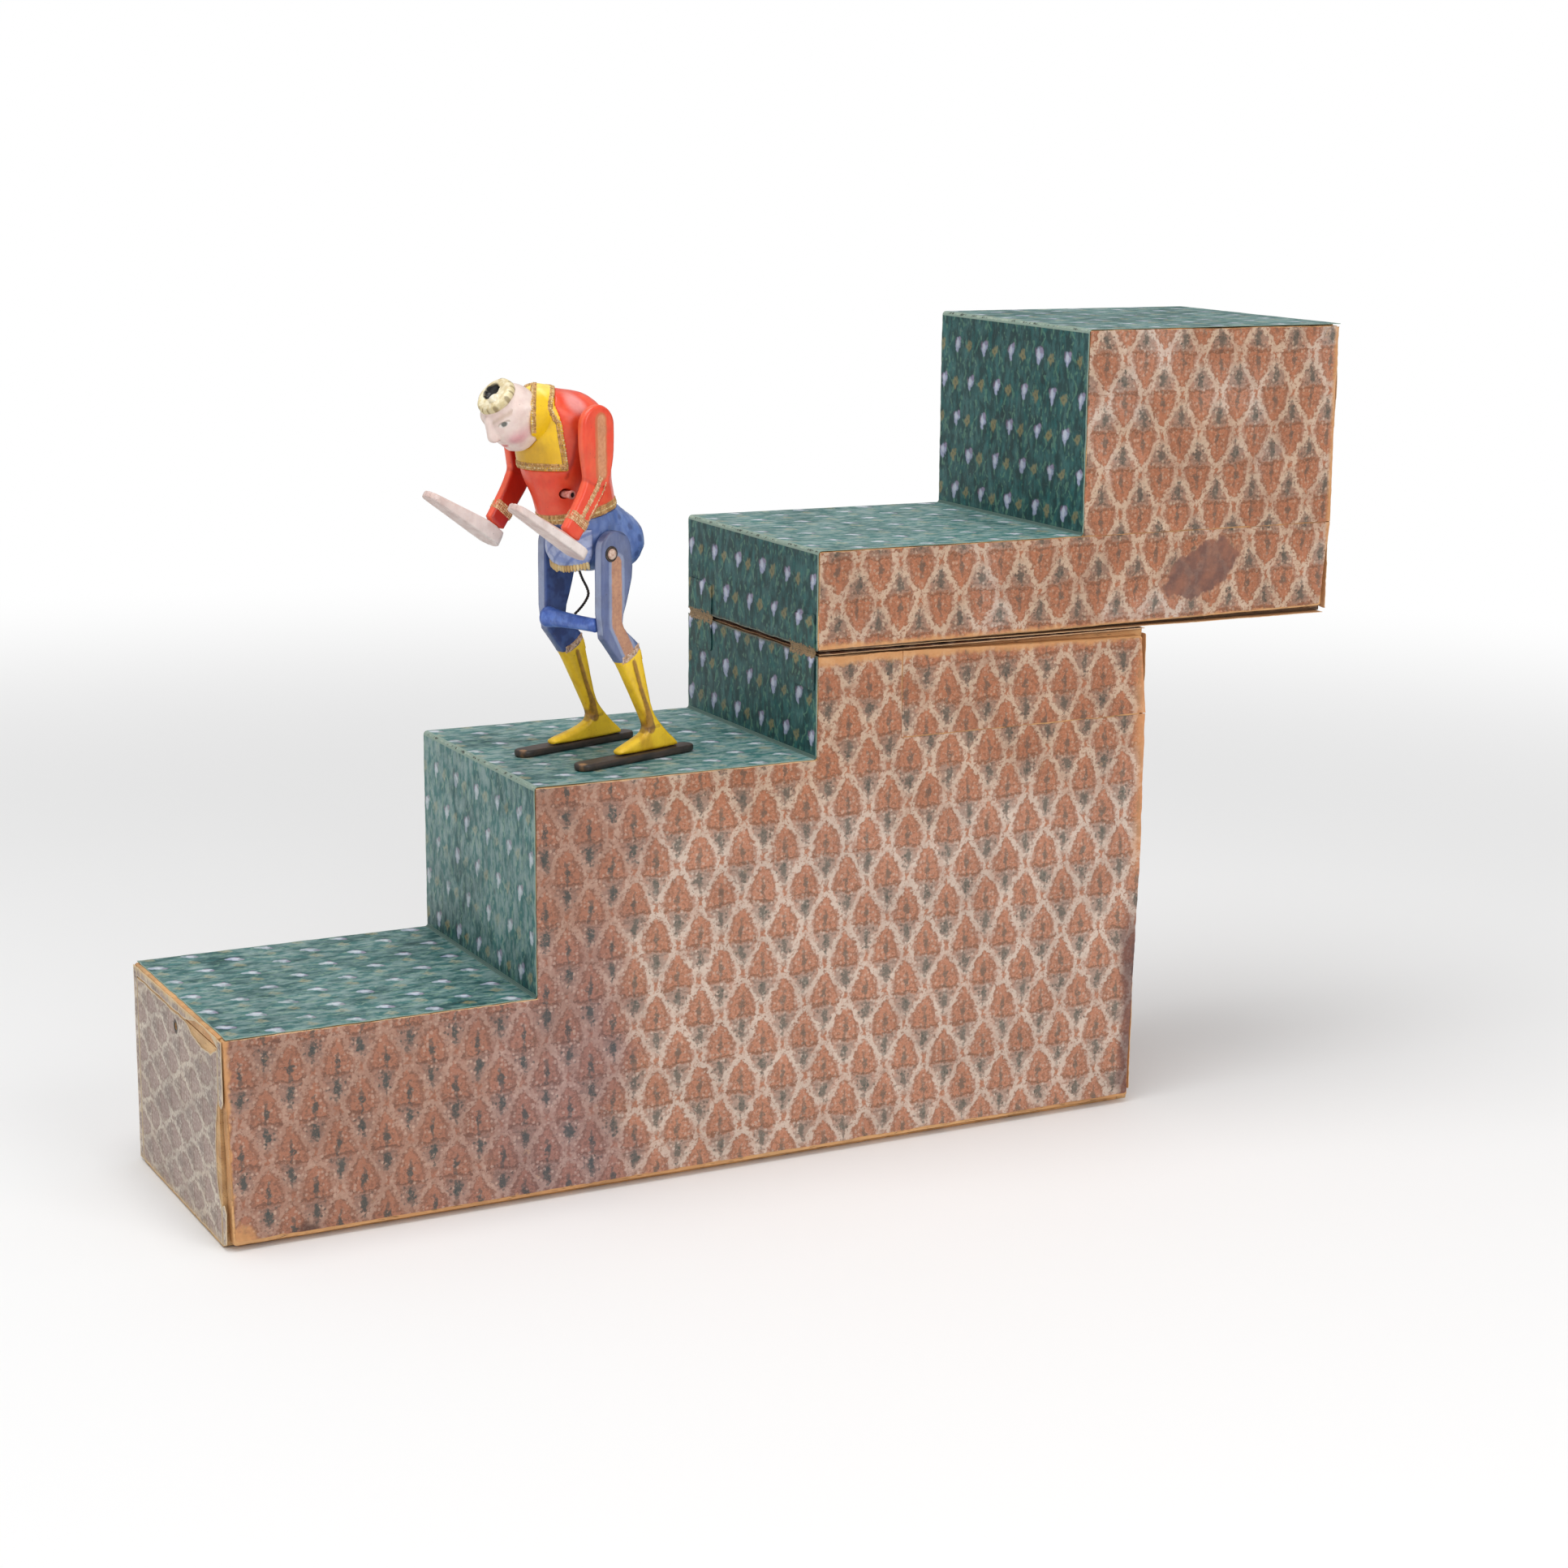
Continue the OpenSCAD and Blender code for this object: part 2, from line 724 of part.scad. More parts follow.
module head_form() {
    mid = crown - 9.6 * head_axis;
    hull() {
        translate([mid[0], 0, mid[1]]) rotate([0, -head_lean, 0])
            scale([head_r, head_r - 0.6, 10]) sphere(r = 1, $fn = hull_fn);
        lump(crown - 14 * head_axis + 2.4 * face_dir, 5.2, 5.2, 5.2);
    }
}

nose_at = crown - 8.2 * head_axis + 8.6 * face_dir;

module head() {
    color("mistyrose") on_the_step() difference() {
        union() {
            head_form();
            hull() {
                lump(nose_at, 2, 1.5, 1.6);
                lump(nose_at + 4 * head_axis - 2.5 * face_dir, 1.6, 1.3, 2);
            }
        }
        tube_room();
        up_the_tube() cylinder(h = huge, r = plug_r, $fn = 32);
    }
}

// What is left of the stopper in the crown
module crown_plug() {
    color("ivory") on_the_step() up_the_tube()
        translate([0, 0, tube_l + cork_l]) cylinder(h = plug_h, r = plug_r, $fn = 32);
}

module side_peg() {
    color("linen") on_the_step()
        across(peg_at[0], peg_at[1], -peg_end_y, -peg_end_y / 2, peg_r);
}

module quicksilver_tube() {
    color("lightcyan") on_the_step() up_the_tube() difference() {
        cylinder(h = tube_l, r = tube_r, $fn = 48);
        translate([0, 0, -over]) cylinder(h = tube_l + 2 * over, r = tube_r - tube_wall, $fn = 48);
    }
}

module tube_corks() {
    color("tan") on_the_step() up_the_tube()
        for (z = [-cork_l, tube_l])
            translate([0, 0, z]) cylinder(h = cork_l, r = tube_r, $fn = 48);
}

module quicksilver() {
    color("silver") on_the_step() up_the_tube()
        cylinder(h = tube_l * charge_share, r = tube_r - tube_wall, $fn = 48);
}

// Fringed apron at the front of the hips
module apron() {
    color("lightsteelblue") on_the_step() difference() {
        intersection() {
            hull() {
                lump(seat_mid + [-13.2, -0.3], 8.4, torso_half, 7.6);
                lump(seat_mid + [-12.4, 6.1], 9.4, torso_half, 7.6);
            }
            block(-huge, -hip_fore - apron_fore, -torso_half, torso_half, hip_h - apron_drop, hip_h + apron_drop);
        }
        seat_form();
        above(hem_mid, -hem_tilt);
    }
}

// Outline of a bent arm: round shoulder, elbow and squared wrist
module arm(side) {
    side_dir = [forearm_dir[1], -forearm_dir[0]];
    difference() {
        translate([0, side > 0 ? arm_in + arm_t : -arm_in, 0]) rotate([90, 0, 0]) linear_extrude(arm_t) {
            hull() {
                translate(shoulder) circle(r = arm_w / 2, $fn = 32);
                translate(shoulder + [0.2, -6]) circle(r = arm_w / 2, $fn = 32);
                translate(elbow) circle(r = wrist_w / 2, $fn = 32);
            }
            hull() {
                translate(elbow) circle(r = wrist_w / 2, $fn = 32);
                polygon([wrist + wrist_w / 2 * side_dir, wrist - wrist_w / 2 * side_dir,
                         wrist - wrist_w / 2 * side_dir - forearm_dir, wrist + wrist_w / 2 * side_dir - forearm_dir]);
            }
        }
        across(shoulder[0], shoulder[1], side > 0 ? arm_in - over : -shoulder_pin_y,
               side > 0 ? shoulder_pin_y : over - arm_in, shoulder_pin_r);
    }
}

module arm_near() {
    color("orangered") on_the_step() arm(-1);
}

module arm_far() {
    color("orangered") on_the_step() arm(1);
}

// A hand: a long flat sole with rounded ends, and a wrist block that rises to the arm
module hand(side) {
    heel_r = hand_w / 2;
    lean = atan2(hand_up[0], hand_up[1]);
    tip = hand_heel + (hand_l - heel_r - hand_tip_r) * hand_dir;
    mid_y = side * (arm_in + hand_w / 2);
    difference() {
        hull() {
            translate([hand_heel[0], mid_y, hand_heel[1]]) rotate([0, lean, 0])
                translate([-heel_r, 0, 0]) cylinder(h = hand_t, r = heel_r, $fn = hull_fn);
            translate([tip[0], mid_y, tip[1]]) rotate([0, lean, 0])
                translate([-heel_r, 0, 0]) cylinder(h = hand_tip_t, r = hand_tip_r, $fn = hull_fn);
            translate([wrist[0], side * (arm_in + arm_t / 2), wrist[1]]) rotate([0, lean, 0])
                cube([wrist_w, arm_t, hand_t / 100], center = true);
        }
        above(wrist, 180 + atan2(forearm_dir[0], forearm_dir[1]));
    }
}

module hand_near() {
    color("lavenderblush") on_the_step() hand(-1);
}

module hand_far() {
    color("lavenderblush") on_the_step() hand(1);
}

module shoulder_pin() {
    color("tan") on_the_step()
        across(shoulder[0], shoulder[1], -shoulder_pin_y, shoulder_pin_y, shoulder_pin_r);
}

base_side_near();
base_side_far();
base_floor();
base_end();
tread_1();
riser_2();
tread_2();
riser_3_lower();
column_top();
drawer_guides();
base_paper_near();
base_paper_far();
base_paper_end();
column_top_paper();
stair_paper_lower();
leaf_lower_near();
leaf_lower_far();
drawer_front();
drawer_floor();
drawer_side_near();
drawer_side_far();
drawer_back();
drawer_paper();
upper_side_near();
upper_side_far();
upper_floor();
riser_3_upper();
tread_3();
riser_4();
tread_4();
upper_end();
upper_paper_near();
upper_paper_far();
upper_paper_end();
upper_paper_under();
stair_paper_upper();
leaf_upper_near();
leaf_upper_far();
leg_near();
leg_far();
ski_near();
ski_far();
knee_crossbar();
hip_pin();
check_thread();
jacket();
trousers_seat();
apron();
yoke();
head();
crown_plug();
side_peg();
quicksilver_tube();
tube_corks();
quicksilver();
arm_near();
arm_far();
hand_near();
hand_far();
shoulder_pin();
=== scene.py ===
from math import atan2, ceil, copysign, cos, exp, hypot, pi, radians, sin, sqrt, tan
from types import SimpleNamespace

import bmesh
import bpy
import numpy as np
from mathutils import Matrix, Vector, geometry, noise
from mathutils.bvhtree import BVHTree


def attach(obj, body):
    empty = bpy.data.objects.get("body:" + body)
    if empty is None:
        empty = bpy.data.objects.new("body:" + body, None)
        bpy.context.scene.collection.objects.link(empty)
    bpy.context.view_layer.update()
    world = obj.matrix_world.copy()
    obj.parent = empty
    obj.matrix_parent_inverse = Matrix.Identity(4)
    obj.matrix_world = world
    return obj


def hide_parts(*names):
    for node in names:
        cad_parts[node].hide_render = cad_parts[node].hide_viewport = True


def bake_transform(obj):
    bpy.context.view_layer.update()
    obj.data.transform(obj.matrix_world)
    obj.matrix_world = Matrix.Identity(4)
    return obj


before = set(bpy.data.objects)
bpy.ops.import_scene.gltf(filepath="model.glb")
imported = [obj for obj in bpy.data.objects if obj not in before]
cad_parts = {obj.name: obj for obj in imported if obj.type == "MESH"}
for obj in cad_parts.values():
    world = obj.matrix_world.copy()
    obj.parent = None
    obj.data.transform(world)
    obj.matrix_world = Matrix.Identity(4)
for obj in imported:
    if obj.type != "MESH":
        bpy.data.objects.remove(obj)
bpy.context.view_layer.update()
mm = 0.001  # everything below is worked out in millimetres and scaled when a mesh is made


def linked(name, data):
    made = bpy.data.objects.new(name, data)
    bpy.context.scene.collection.objects.link(made)
    return made


# camera, lamps and table
cameraSetup = dict(azimuth=-27.622, elevation=12.646, roll=0.507, lens=69.53, place=(-0.37009, -0.79121, 0.30315))
lampSetup = dict(topPower=9.4, frontPower=6.6, leftPower=1.7, sky=0.5, floorTone=0.9)


def makeCamera(setup):
    a, e, r = (radians(setup[k]) for k in ("azimuth", "elevation", "roll"))
    back = Vector((sin(a) * cos(e), -cos(a) * cos(e), sin(e)))
    right = Vector((cos(a), sin(a), 0))
    up = back.cross(right)
    tiltedRight = cos(r) * right + sin(r) * up
    tiltedUp = -sin(r) * right + cos(r) * up
    data = bpy.data.cameras.new("camera")
    data.lens = setup["lens"]
    data.sensor_width = 36
    data.clip_start = 0.02
    camera = linked("camera", data)
    turn = Matrix((tiltedRight, tiltedUp, back)).transposed().to_4x4()
    camera.matrix_world = Matrix.Translation(Vector(setup["place"])) @ turn
    bpy.context.scene.camera = camera


def makeLamp(name, place, target, size, power):
    data = bpy.data.lights.new(name, "AREA")
    data.shape = "DISK"
    data.size = size
    data.energy = power
    lamp = linked(name, data)
    lamp.location = place
    lamp.rotation_euler = (Vector(target) - Vector(place)).to_track_quat("-Z", "Y").to_euler()


# wiring of the material nodes
def tone(r, g, b):
    return tuple(((c / 255 + 0.055) / 1.055) ** 2.4 if c > 10 else c / 3294.6 for c in (r, g, b)) + (1.0,)


def plug(tree, socket, value):
    value = getattr(value, "socket", value)
    if isinstance(value, bpy.types.NodeSocket):
        tree.links.new(value, socket)
    elif value is not None:
        socket.default_value = value


def addNode(tree, kind, plugs=None, **settings):
    made = tree.nodes.new(kind if "Node" in kind else "ShaderNode" + kind)
    for key, value in settings.items():
        setattr(made, key, value)
    for key, value in (plugs or {}).items():
        plug(tree, made.inputs[key], value)
    return made


class Wire:  # an output socket that can be used in plain arithmetic
    def __init__(self, tree, socket):
        self.tree = tree
        self.socket = socket

    def calc(self, operation, *values):
        made = addNode(self.tree, "Math", dict(enumerate(values)), operation=operation)
        return Wire(self.tree, made.outputs[0])

    def __rsub__(self, other):
        return self.calc("SUBTRACT", other, self)

    def nearest(self):  # distance to the nearest whole number, with its sign
        return self - self.calc("ROUND", self)

    def clip(self):
        return self.most(0.0).least(1.0)

    # this colour with others laid over it in turn, each a share, a colour and perhaps a way
    def under(self, *layers):
        made = self
        for share, *rest in layers:
            made = mixColour(share, made, *rest)
        return made


for rule, operation in dict(__add__="ADD", __radd__="ADD", __sub__="SUBTRACT", __mul__="MULTIPLY",
        __rmul__="MULTIPLY", __truediv__="DIVIDE", __pow__="POWER", __abs__="ABSOLUTE", sine="SINE", root="SQRT",
        sign="SIGN", most="MAXIMUM", least="MINIMUM").items():
    setattr(Wire, rule, lambda *terms, operation=operation: terms[0].calc(operation, *terms))


def ramp(value, low, high):  # 0 at low and 1 at high, smooth between; low may be the larger
    flip = low > high
    made = addNode(value.tree, "MapRange", {"Value": value, "From Min": min(low, high), "From Max": max(low, high)},
        interpolation_type="SMOOTHSTEP")
    out = Wire(value.tree, made.outputs["Result"])
    return 1.0 - out if flip else out


def mixColour(share, first, second, blend="MIX"):
    tree = next(value.tree for value in (share, first, second) if isinstance(value, Wire))
    made = addNode(tree, "Mix", {0: share, 6: first, 7: second}, data_type="RGBA", blend_type=blend)
    return Wire(tree, made.outputs[2])


def pick(share, first, second):  # number between two others
    return first + (second - first) * share


def parts(vector):
    made = addNode(vector.tree, "SeparateXYZ", {0: vector})
    return [Wire(vector.tree, s) for s in made.outputs]


def joined(tree, x, y, z=0.0):
    return Wire(tree, addNode(tree, "CombineXYZ", {0: x, 1: y, 2: z}).outputs[0])


def cloud(vector, size, detail=3.0, roughness=0.55, colour=False):  # size in the vector's own unit
    made = addNode(vector.tree, "TexNoise", {"Vector": vector, "Scale": 1.0 / size, "Detail": detail,
        "Roughness": roughness})
    return Wire(vector.tree, made.outputs["Color" if colour else "Fac"])


def cells(vector, size, colour=False):
    made = addNode(vector.tree, "TexVoronoi", {"Vector": vector, "Scale": 1.0 / size})
    return Wire(vector.tree, made.outputs["Color" if colour else "Distance"])


def vectorMath(first, operation, second):
    made = addNode(first.tree, "VectorMath", {0: first, "Scale" if operation == "SCALE" else 1: second},
        operation=operation)
    return Wire(first.tree, made.outputs[0])


def vectorSum(first, second, scale):  # the second is a noise colour, so its middle lies at a half
    return vectorMath(first, "ADD", vectorMath(vectorMath(second, "ADD", (-0.5, -0.5, -0.5)), "SCALE", scale))


def stretched(vector, x, y, z):
    return vectorMath(vector, "MULTIPLY", (x, y, z))


# object coordinates in millimetres, about an origin and turned about Z
def placeIn(tree, origin=(0, 0, 0), turn=0.0):
    coordinates = addNode(tree, "TexCoord").outputs["Object"]
    made = addNode(tree, "Mapping", {"Vector": Wire(tree, coordinates), "Location": [c * mm for c in origin],
        "Rotation": (0, 0, radians(turn)), "Scale": (mm, mm, mm)}, vector_type="TEXTURE")
    return Wire(tree, made.outputs[0])


def attribute(tree, name):
    return Wire(tree, addNode(tree, "Attribute", attribute_name=name).outputs["Fac"])


def printMap(tree):
    return Wire(tree, addNode(tree, "UVMap", uv_map="print").outputs[0])


def newGroup(name, results, **inputs):  # an input is "Vector", "Color" or a number, its usual value
    tree = bpy.data.node_groups.new(name, "ShaderNodeTree")
    for label, value in inputs.items():
        kind = value if isinstance(value, str) else "Float"
        socket = tree.interface.new_socket(label, in_out="INPUT", socket_type="NodeSocket" + kind)
        if kind == "Float":
            socket.default_value = value
    for label in results:
        kind = "Color" if label == "Color" else "Float"
        tree.interface.new_socket(label, in_out="OUTPUT", socket_type="NodeSocket" + kind)
    start = tree.nodes.new("NodeGroupInput")
    end = tree.nodes.new("NodeGroupOutput")
    return tree, SimpleNamespace(**{label.lower(): Wire(tree, start.outputs[label]) for label in inputs}), end


def closeGroup(tree, end, **results):
    for label, wire in results.items():
        tree.links.new(wire.socket, end.inputs[label])
    return tree


def useGroup(kind, **values):
    tree = values["Place"].tree
    made = addNode(tree, "Group", node_tree=groups[kind])
    for label, value in values.items():
        plug(tree, made.inputs[label], value)
    return SimpleNamespace(**{s.name.lower(): Wire(tree, s) for s in made.outputs})


def newMaterial(name):
    made = bpy.data.materials.new(name)
    made.use_nodes = True
    return made, made.node_tree, made.node_tree.nodes["Principled BSDF"]


def finishMaterial(tree, shader, colour, roughness, height=None, depth=0.1, **fixed):  # depth of the relief in mm
    plug(tree, shader.inputs["Base Color"], colour)
    plug(tree, shader.inputs["Roughness"], roughness)
    if height is not None:
        bump = addNode(tree, "Bump", {"Height": height, "Distance": depth * mm, "Strength": 1.0})
        plug(tree, shader.inputs["Normal"], bump.outputs[0])
    for key, value in fixed.items():
        shader.inputs[key.replace("_", " ")].default_value = value


# effects that several materials share
def makeOgeePrint():  # block-printed lattice of pointed leaves, in mm on the sheet
    tree, take, end = newGroup(
        "ogee print", ("Color", "Ink"), Place="Vector", Width=13.6, Height=22.75, Lattice=1.0, Stems=0.4, Flecks=0.36,
        Upright=1.0, Ground="Color", Line="Color", Leaf="Color", Rim="Color", Husk="Color", Stem="Color")
    place = take.place
    wobbled = vectorSum(place, cloud(place, 5.0, 1.0, 0.5, colour=True), 2.6)
    wobbled = vectorSum(wobbled, cloud(place, 1.2, 1.0, 0.5, colour=True), 2.2)
    x, y, _ = parts(wobbled)
    u = (x / take.width).nearest()
    v = (y / take.height).nearest()
    inside = ramp(abs(u) + abs(v), 0.5003, 0.4997)
    u = pick(inside, u - u.sign() * 0.5, u)
    v = pick(inside, v - v.sign() * 0.5, v)
    a = u * 13.6  # the motif is drawn at one size and stretched with the lattice
    b = v * take.upright * 22.75  # -1 turns the leaves upside down
    grit = cloud(place, 1.3, 2.0, 0.6)
    fine = cloud(place, 0.7, 2.0, 0.7)
    rough = (grit - 0.5) * 2.6 + (fine - 0.5) * 2.2
    worn = cloud(place, 8.0, 3.0, 0.6)

    def away(ac, bc, ra, rb):  # 1 on the rim of an oval
        return (((a - ac) / ra) * ((a - ac) / ra) + ((b - bc) / rb) * ((b - bc) / rb)).root()

    def blob(ac, bc, ra, rb, low=1.3, high=0.6):
        return ramp(away(ac, bc, ra, rb) + rough * 0.4, low, high)

    # the frames are rounded lozenges, so the pale band between them is narrow at its sides and broad where four meet
    frameAway = (abs(u) * 2.0) ** 1.32 + (abs(v) * 2.0) ** 1.32
    line = ramp(frameAway + rough * 0.09, 0.63, 0.73) * ramp(frameAway + rough * 0.05, 0.95, 0.85)
    spot = ramp(frameAway + rough * 0.05, 0.86, 0.95)
    rise = ((b + 1.8) / 11.0).clip()
    half = (1.0 - rise ** 1.9).clip()
    half = half ** 0.8 * 4.2
    leafIn = (half - abs(a)).least(b + 2.1)
    leaf = ramp(leafIn + rough * 0.6, -0.5, 0.5)
    rim = ramp(abs(leafIn - 0.3) + rough * 0.4, 0.75, 0.15)
    bars = ramp(abs(b + 1.5) + rough * 0.3, 0.6, 0.15) * ramp(abs(a) + rough * 0.6, 5.2, 4.2)
    bars = bars.most(ramp(abs(b + 3.3) + rough * 0.3, 0.5, 0.15) * ramp(abs(a) + rough * 0.6, 3.6, 2.8))
    mass = blob(0, -5.9, 3.2, 3.2, 1.2, 0.7).most(ramp(frameAway + rough * 0.09, 0.6, 0.48) * ramp(b + rough * 0.3,
        -1.8, -2.6) * 0.8)
    heart = blob(0, 1.7, 0.95, 1.7).most(ramp(abs(a) + rough * 0.25, 0.7, 0.25) * ramp(abs(b - 1.6), 4.0, 3.0) * 0.7)
    twigs = ramp(abs(abs(a) - 1.9) + rough * 0.3, 0.6, 0.2) * ramp(abs((b / 1.9).nearest()), 0.26,
        0.12) * ramp(abs(b - 0.9), 4.2, 3.4)
    core = blob(0, -5.3, 1.1, 2.3).most(blob(0, -8.4, 0.5, 0.6) * 0.7)
    bud = blob(0, -10.2, 1.0, 1.1).most(blob(0, 11.0, 0.8, 0.9) * 0.7)
    motes = ramp(cells(place, 1.15) + (fine - 0.5) * 0.5, 0.52, 0.25)
    chosen = parts(cells(place, 1.15, colour=True))[0]
    cream = motes * ramp(chosen, 0.62, 0.66)
    dark = motes * ramp(chosen, 0.4, 0.36)
    colour = mixColour(leaf * 0.78, take.ground, take.leaf)
    colour = colour.under(
        (ramp(grit, 0.5, 0.3) * 0.5, take.rim),
        ((rim * 0.5).most(bars * 0.85).most(twigs * 0.55), take.rim),
        (mass * 0.6, take.husk),
        (dark * (mass * 0.45 + 0.34), mixColour(mass * 0.8, take.rim, take.stem)),
        (cream * (mass * 0.3 + take.flecks), take.line),
        (ramp(fine, 0.52, 0.7) * 0.4, take.line))
    lattice = line * take.lattice * (ramp(worn, 0.36, 0.56) * 0.36 + 0.46) * ramp(grit + fine, 0.78, 0.98)
    colour = colour.under(
        (lattice, take.line),
        (spot * 0.75, take.leaf),
        (bud * 0.4, take.rim),
        (ramp(fine, 0.46, 0.3) * 0.3, take.husk))
    stems = (heart * (take.stems * 0.7 + 0.25)).most(core * (take.stems * 0.5 + 0.45)) * ramp(fine + grit, 0.7, 0.95)
    colour = colour.under((stems * 0.9, take.stem))
    return closeGroup(tree, end, Color=colour, Ink=line.most(core) + fine * 0.4)


def makeBudPrint():  # rows of buds and small flowers on a green ground
    tree, take, end = newGroup(
        "bud print", ("Color", "Ink"), Place="Vector", Ground="Color", Shade="Color", Bright="Color", Bud="Color",
        Flower="Color", Tendril="Color", Worn=0.0)
    place = take.place
    wobbled = vectorSum(place, cloud(place, 4.0, 2.0, 0.5, colour=True), 2.4)
    p, q, _ = parts(wobbled)
    p = (p + 0.2) / 15.85
    q = (q - 65.2) / 22.75
    rowA = ramp(abs(q.nearest()), 0.2501, 0.2499)
    a = pick(rowA, (p - 0.5).nearest(), p.nearest()) * 15.85
    b = pick(rowA, (q - 0.5).nearest(), q.nearest()) * 22.75
    fine = cloud(place, 0.6, 2.0, 0.7)
    grit = cloud(place, 1.5, 2.0, 0.6)
    rough = (grit - 0.5) * 1.6 + (fine - 0.5) * 1.6

    def blob(ac, bc, ra, rb, soft=0.25, lean=0.0):
        along = (a - ac - b * lean) / ra
        across = (b - bc) / rb
        return ramp((along * along + across * across).root() + rough * 0.35, 1.0 + soft, 1.0 - soft)

    upright = cloud(stretched(place, 1.0, 0.4, 1.0), 2.4, 3.0, 0.6)
    halo = blob(-0.2, -0.6, 3.0, 3.9, 0.4)
    petals = blob(-0.1, 0.3, 1.75, 1.7, lean=0.2).most(blob(-0.5, -1.2, 0.95, 1.5)).most(blob(1.0, 1.5, 0.8, 0.8))
    glow = blob(-0.4, 0.2, 0.9, 1.2, 0.4)
    blush = blob(1.0, 1.7, 1.0, 0.8, 0.4).most(blob(-1.6, 0.8, 0.6, 0.9, 0.4))
    calyx = blob(-0.5, -3.0, 0.45, 1.5, 0.35)
    flower = blob(6.3, -0.7, 1.8, 0.9, 0.35).most(blob(6.3, -0.7, 0.9, 1.7, 0.35)).most(blob(7.4, 0.6, 0.7, 0.7, 0.4)
        * 0.8)
    heart = blob(6.3, -0.7, 0.5, 0.5, 0.3)
    weave = (b * (2 * pi / 11.375)).sine()
    vines = abs(a - 3.4 + weave * 1.9).least(abs(a + 4.6 - weave * 1.6)).least(abs(a + 7.6 + weave * 0.9))
    vines = ramp(vines + rough * 0.45, 0.75, 0.2) * ramp(cloud(place, 2.2, 1.0), 0.42, 0.56)
    leaves = ramp(cells(stretched(place, 1.0, 0.55, 1.0), 1.7) + (fine - 0.5) * 0.4, 0.4,
        0.16) * ramp(cloud(place, 3.6, 1.0), 0.46, 0.58)
    colour = mixColour(ramp(upright, 0.56, 0.4), take.ground, take.shade)
    colour = colour.under(
        (ramp(upright, 0.54, 0.7) * 0.7, take.bright),
        (halo * 0.7, take.shade),
        (vines.most(leaves) * 0.7, take.tendril),
        (calyx * 0.7, take.tendril))
    kept = 1.0 - take.worn * ramp(cloud(place, 5.0, 2.0), 0.5, 0.62) * 0.6
    colour = colour.under(
        (flower * kept * 0.85, take.flower),
        (heart * 0.4, take.shade),
        (petals * kept * 0.92, take.bud),
        (blush * kept * 0.5, tone(128, 92, 122)),
        (glow * kept * 0.5, tone(232, 236, 244)))
    return closeGroup(tree, end, Color=colour, Ink=petals.most(flower).most(vines))


def makePaperWear():  # rubbed rims, scuffs, foxing and the pressed fibres of old paper
    tree, take, end = newGroup("paper wear", ("Color", "Height"), Place="Vector", Edge=50.0, Reach=1.4, Scuffs=0.5,
        Print="Color", Core="Color", Dirt="Color")
    place = take.place
    broad = cloud(place, 22.0, 3.0, 0.6)
    mid = cloud(place, 4.5, 4.0, 0.65)
    fine = cloud(place, 0.7, 3.0, 0.7)
    rubbed = ramp(take.edge / take.reach + (mid - 0.5) * 2.4 + (fine - 0.5) * 0.8, 1.0, 0.45)
    scuff = ramp(mid + (broad - 0.5) * 0.5 + (fine - 0.5) * 0.35, 0.69, 0.78) * take.scuffs
    scratch = ramp(cloud(stretched(place, 0.12, 1.0, 1.0), 1.1, 2.0, 0.6), 0.7, 0.78) * ramp(broad, 0.45,
        0.6) * take.scuffs
    foxing = ramp(cells(place, 9.0) + (mid - 0.5) * 0.3, 0.13, 0.04)
    speck = ramp(cells(place, 3.1), 0.09, 0.04)
    colour = mixColour((ramp(broad, 0.3, 0.75)) * 0.22, take.print, take.dirt, "MULTIPLY")
    colour = colour.under(
        (ramp(fine, 0.3, 0.75) * 0.16, take.dirt),
        ((scuff.most(scratch)) * 0.55, take.core),
        ((foxing * 0.4).most(speck * 0.35), take.dirt),
        (rubbed * 0.9, take.core))
    height = fine * 0.35 + mid * 0.5 - rubbed * 0.5 - scuff * 0.4 + (cloud(stretched(place, 1.0, 0.25, 1.0), 0.5,
        2.0) * 0.2)
    return closeGroup(tree, end, Color=colour, Height=height)


def makeWoodGrain():  # Place is in mm with the grain along X
    tree, take, end = newGroup("wood grain", ("Color", "Height"), Place="Vector", Pale="Color", Dark="Color",
        Grime=0.4)
    place = take.place
    bent = vectorSum(place, cloud(place, 60.0, 2.0, 0.5, colour=True), 9.0)
    rings = cloud(stretched(bent, 0.03, 0.8, 0.8), 5.0, 4.0, 0.5)
    fibre = cloud(stretched(bent, 0.05, 1.0, 1.0), 0.5, 3.0, 0.7)
    pores = ramp(cloud(stretched(bent, 0.09, 1.0, 1.0), 0.35, 1.0, 0.5), 0.62, 0.72)
    blotch = cloud(place, 14.0, 3.0, 0.6)
    colour = mixColour(ramp(rings, 0.34, 0.7) * 0.8, take.pale, take.dark)
    colour = colour.under(
        (ramp(fibre, 0.3, 0.75) * 0.4, take.dark),
        (pores * 0.5, tone(70, 40, 22)),
        (ramp(blotch, 0.42, 0.72) * take.grime, tone(78, 48, 30)))
    return closeGroup(tree, end, Color=colour, Height=fibre * 0.6 + rings * 0.4 - pores * 0.5)


groups = dict(ogee=makeOgeePrint(), buds=makeBudPrint(), wear=makePaperWear(), wood=makeWoodGrain())

# materials of the box
paperTones = dict(line=(224, 206, 190), leaf=(194, 126, 92), ground=(194, 152, 132), rim=(136, 92, 68),
    husk=(166, 150, 138), stem=(80, 88, 80), core=(220, 178, 134), dirt=(112, 80, 62))


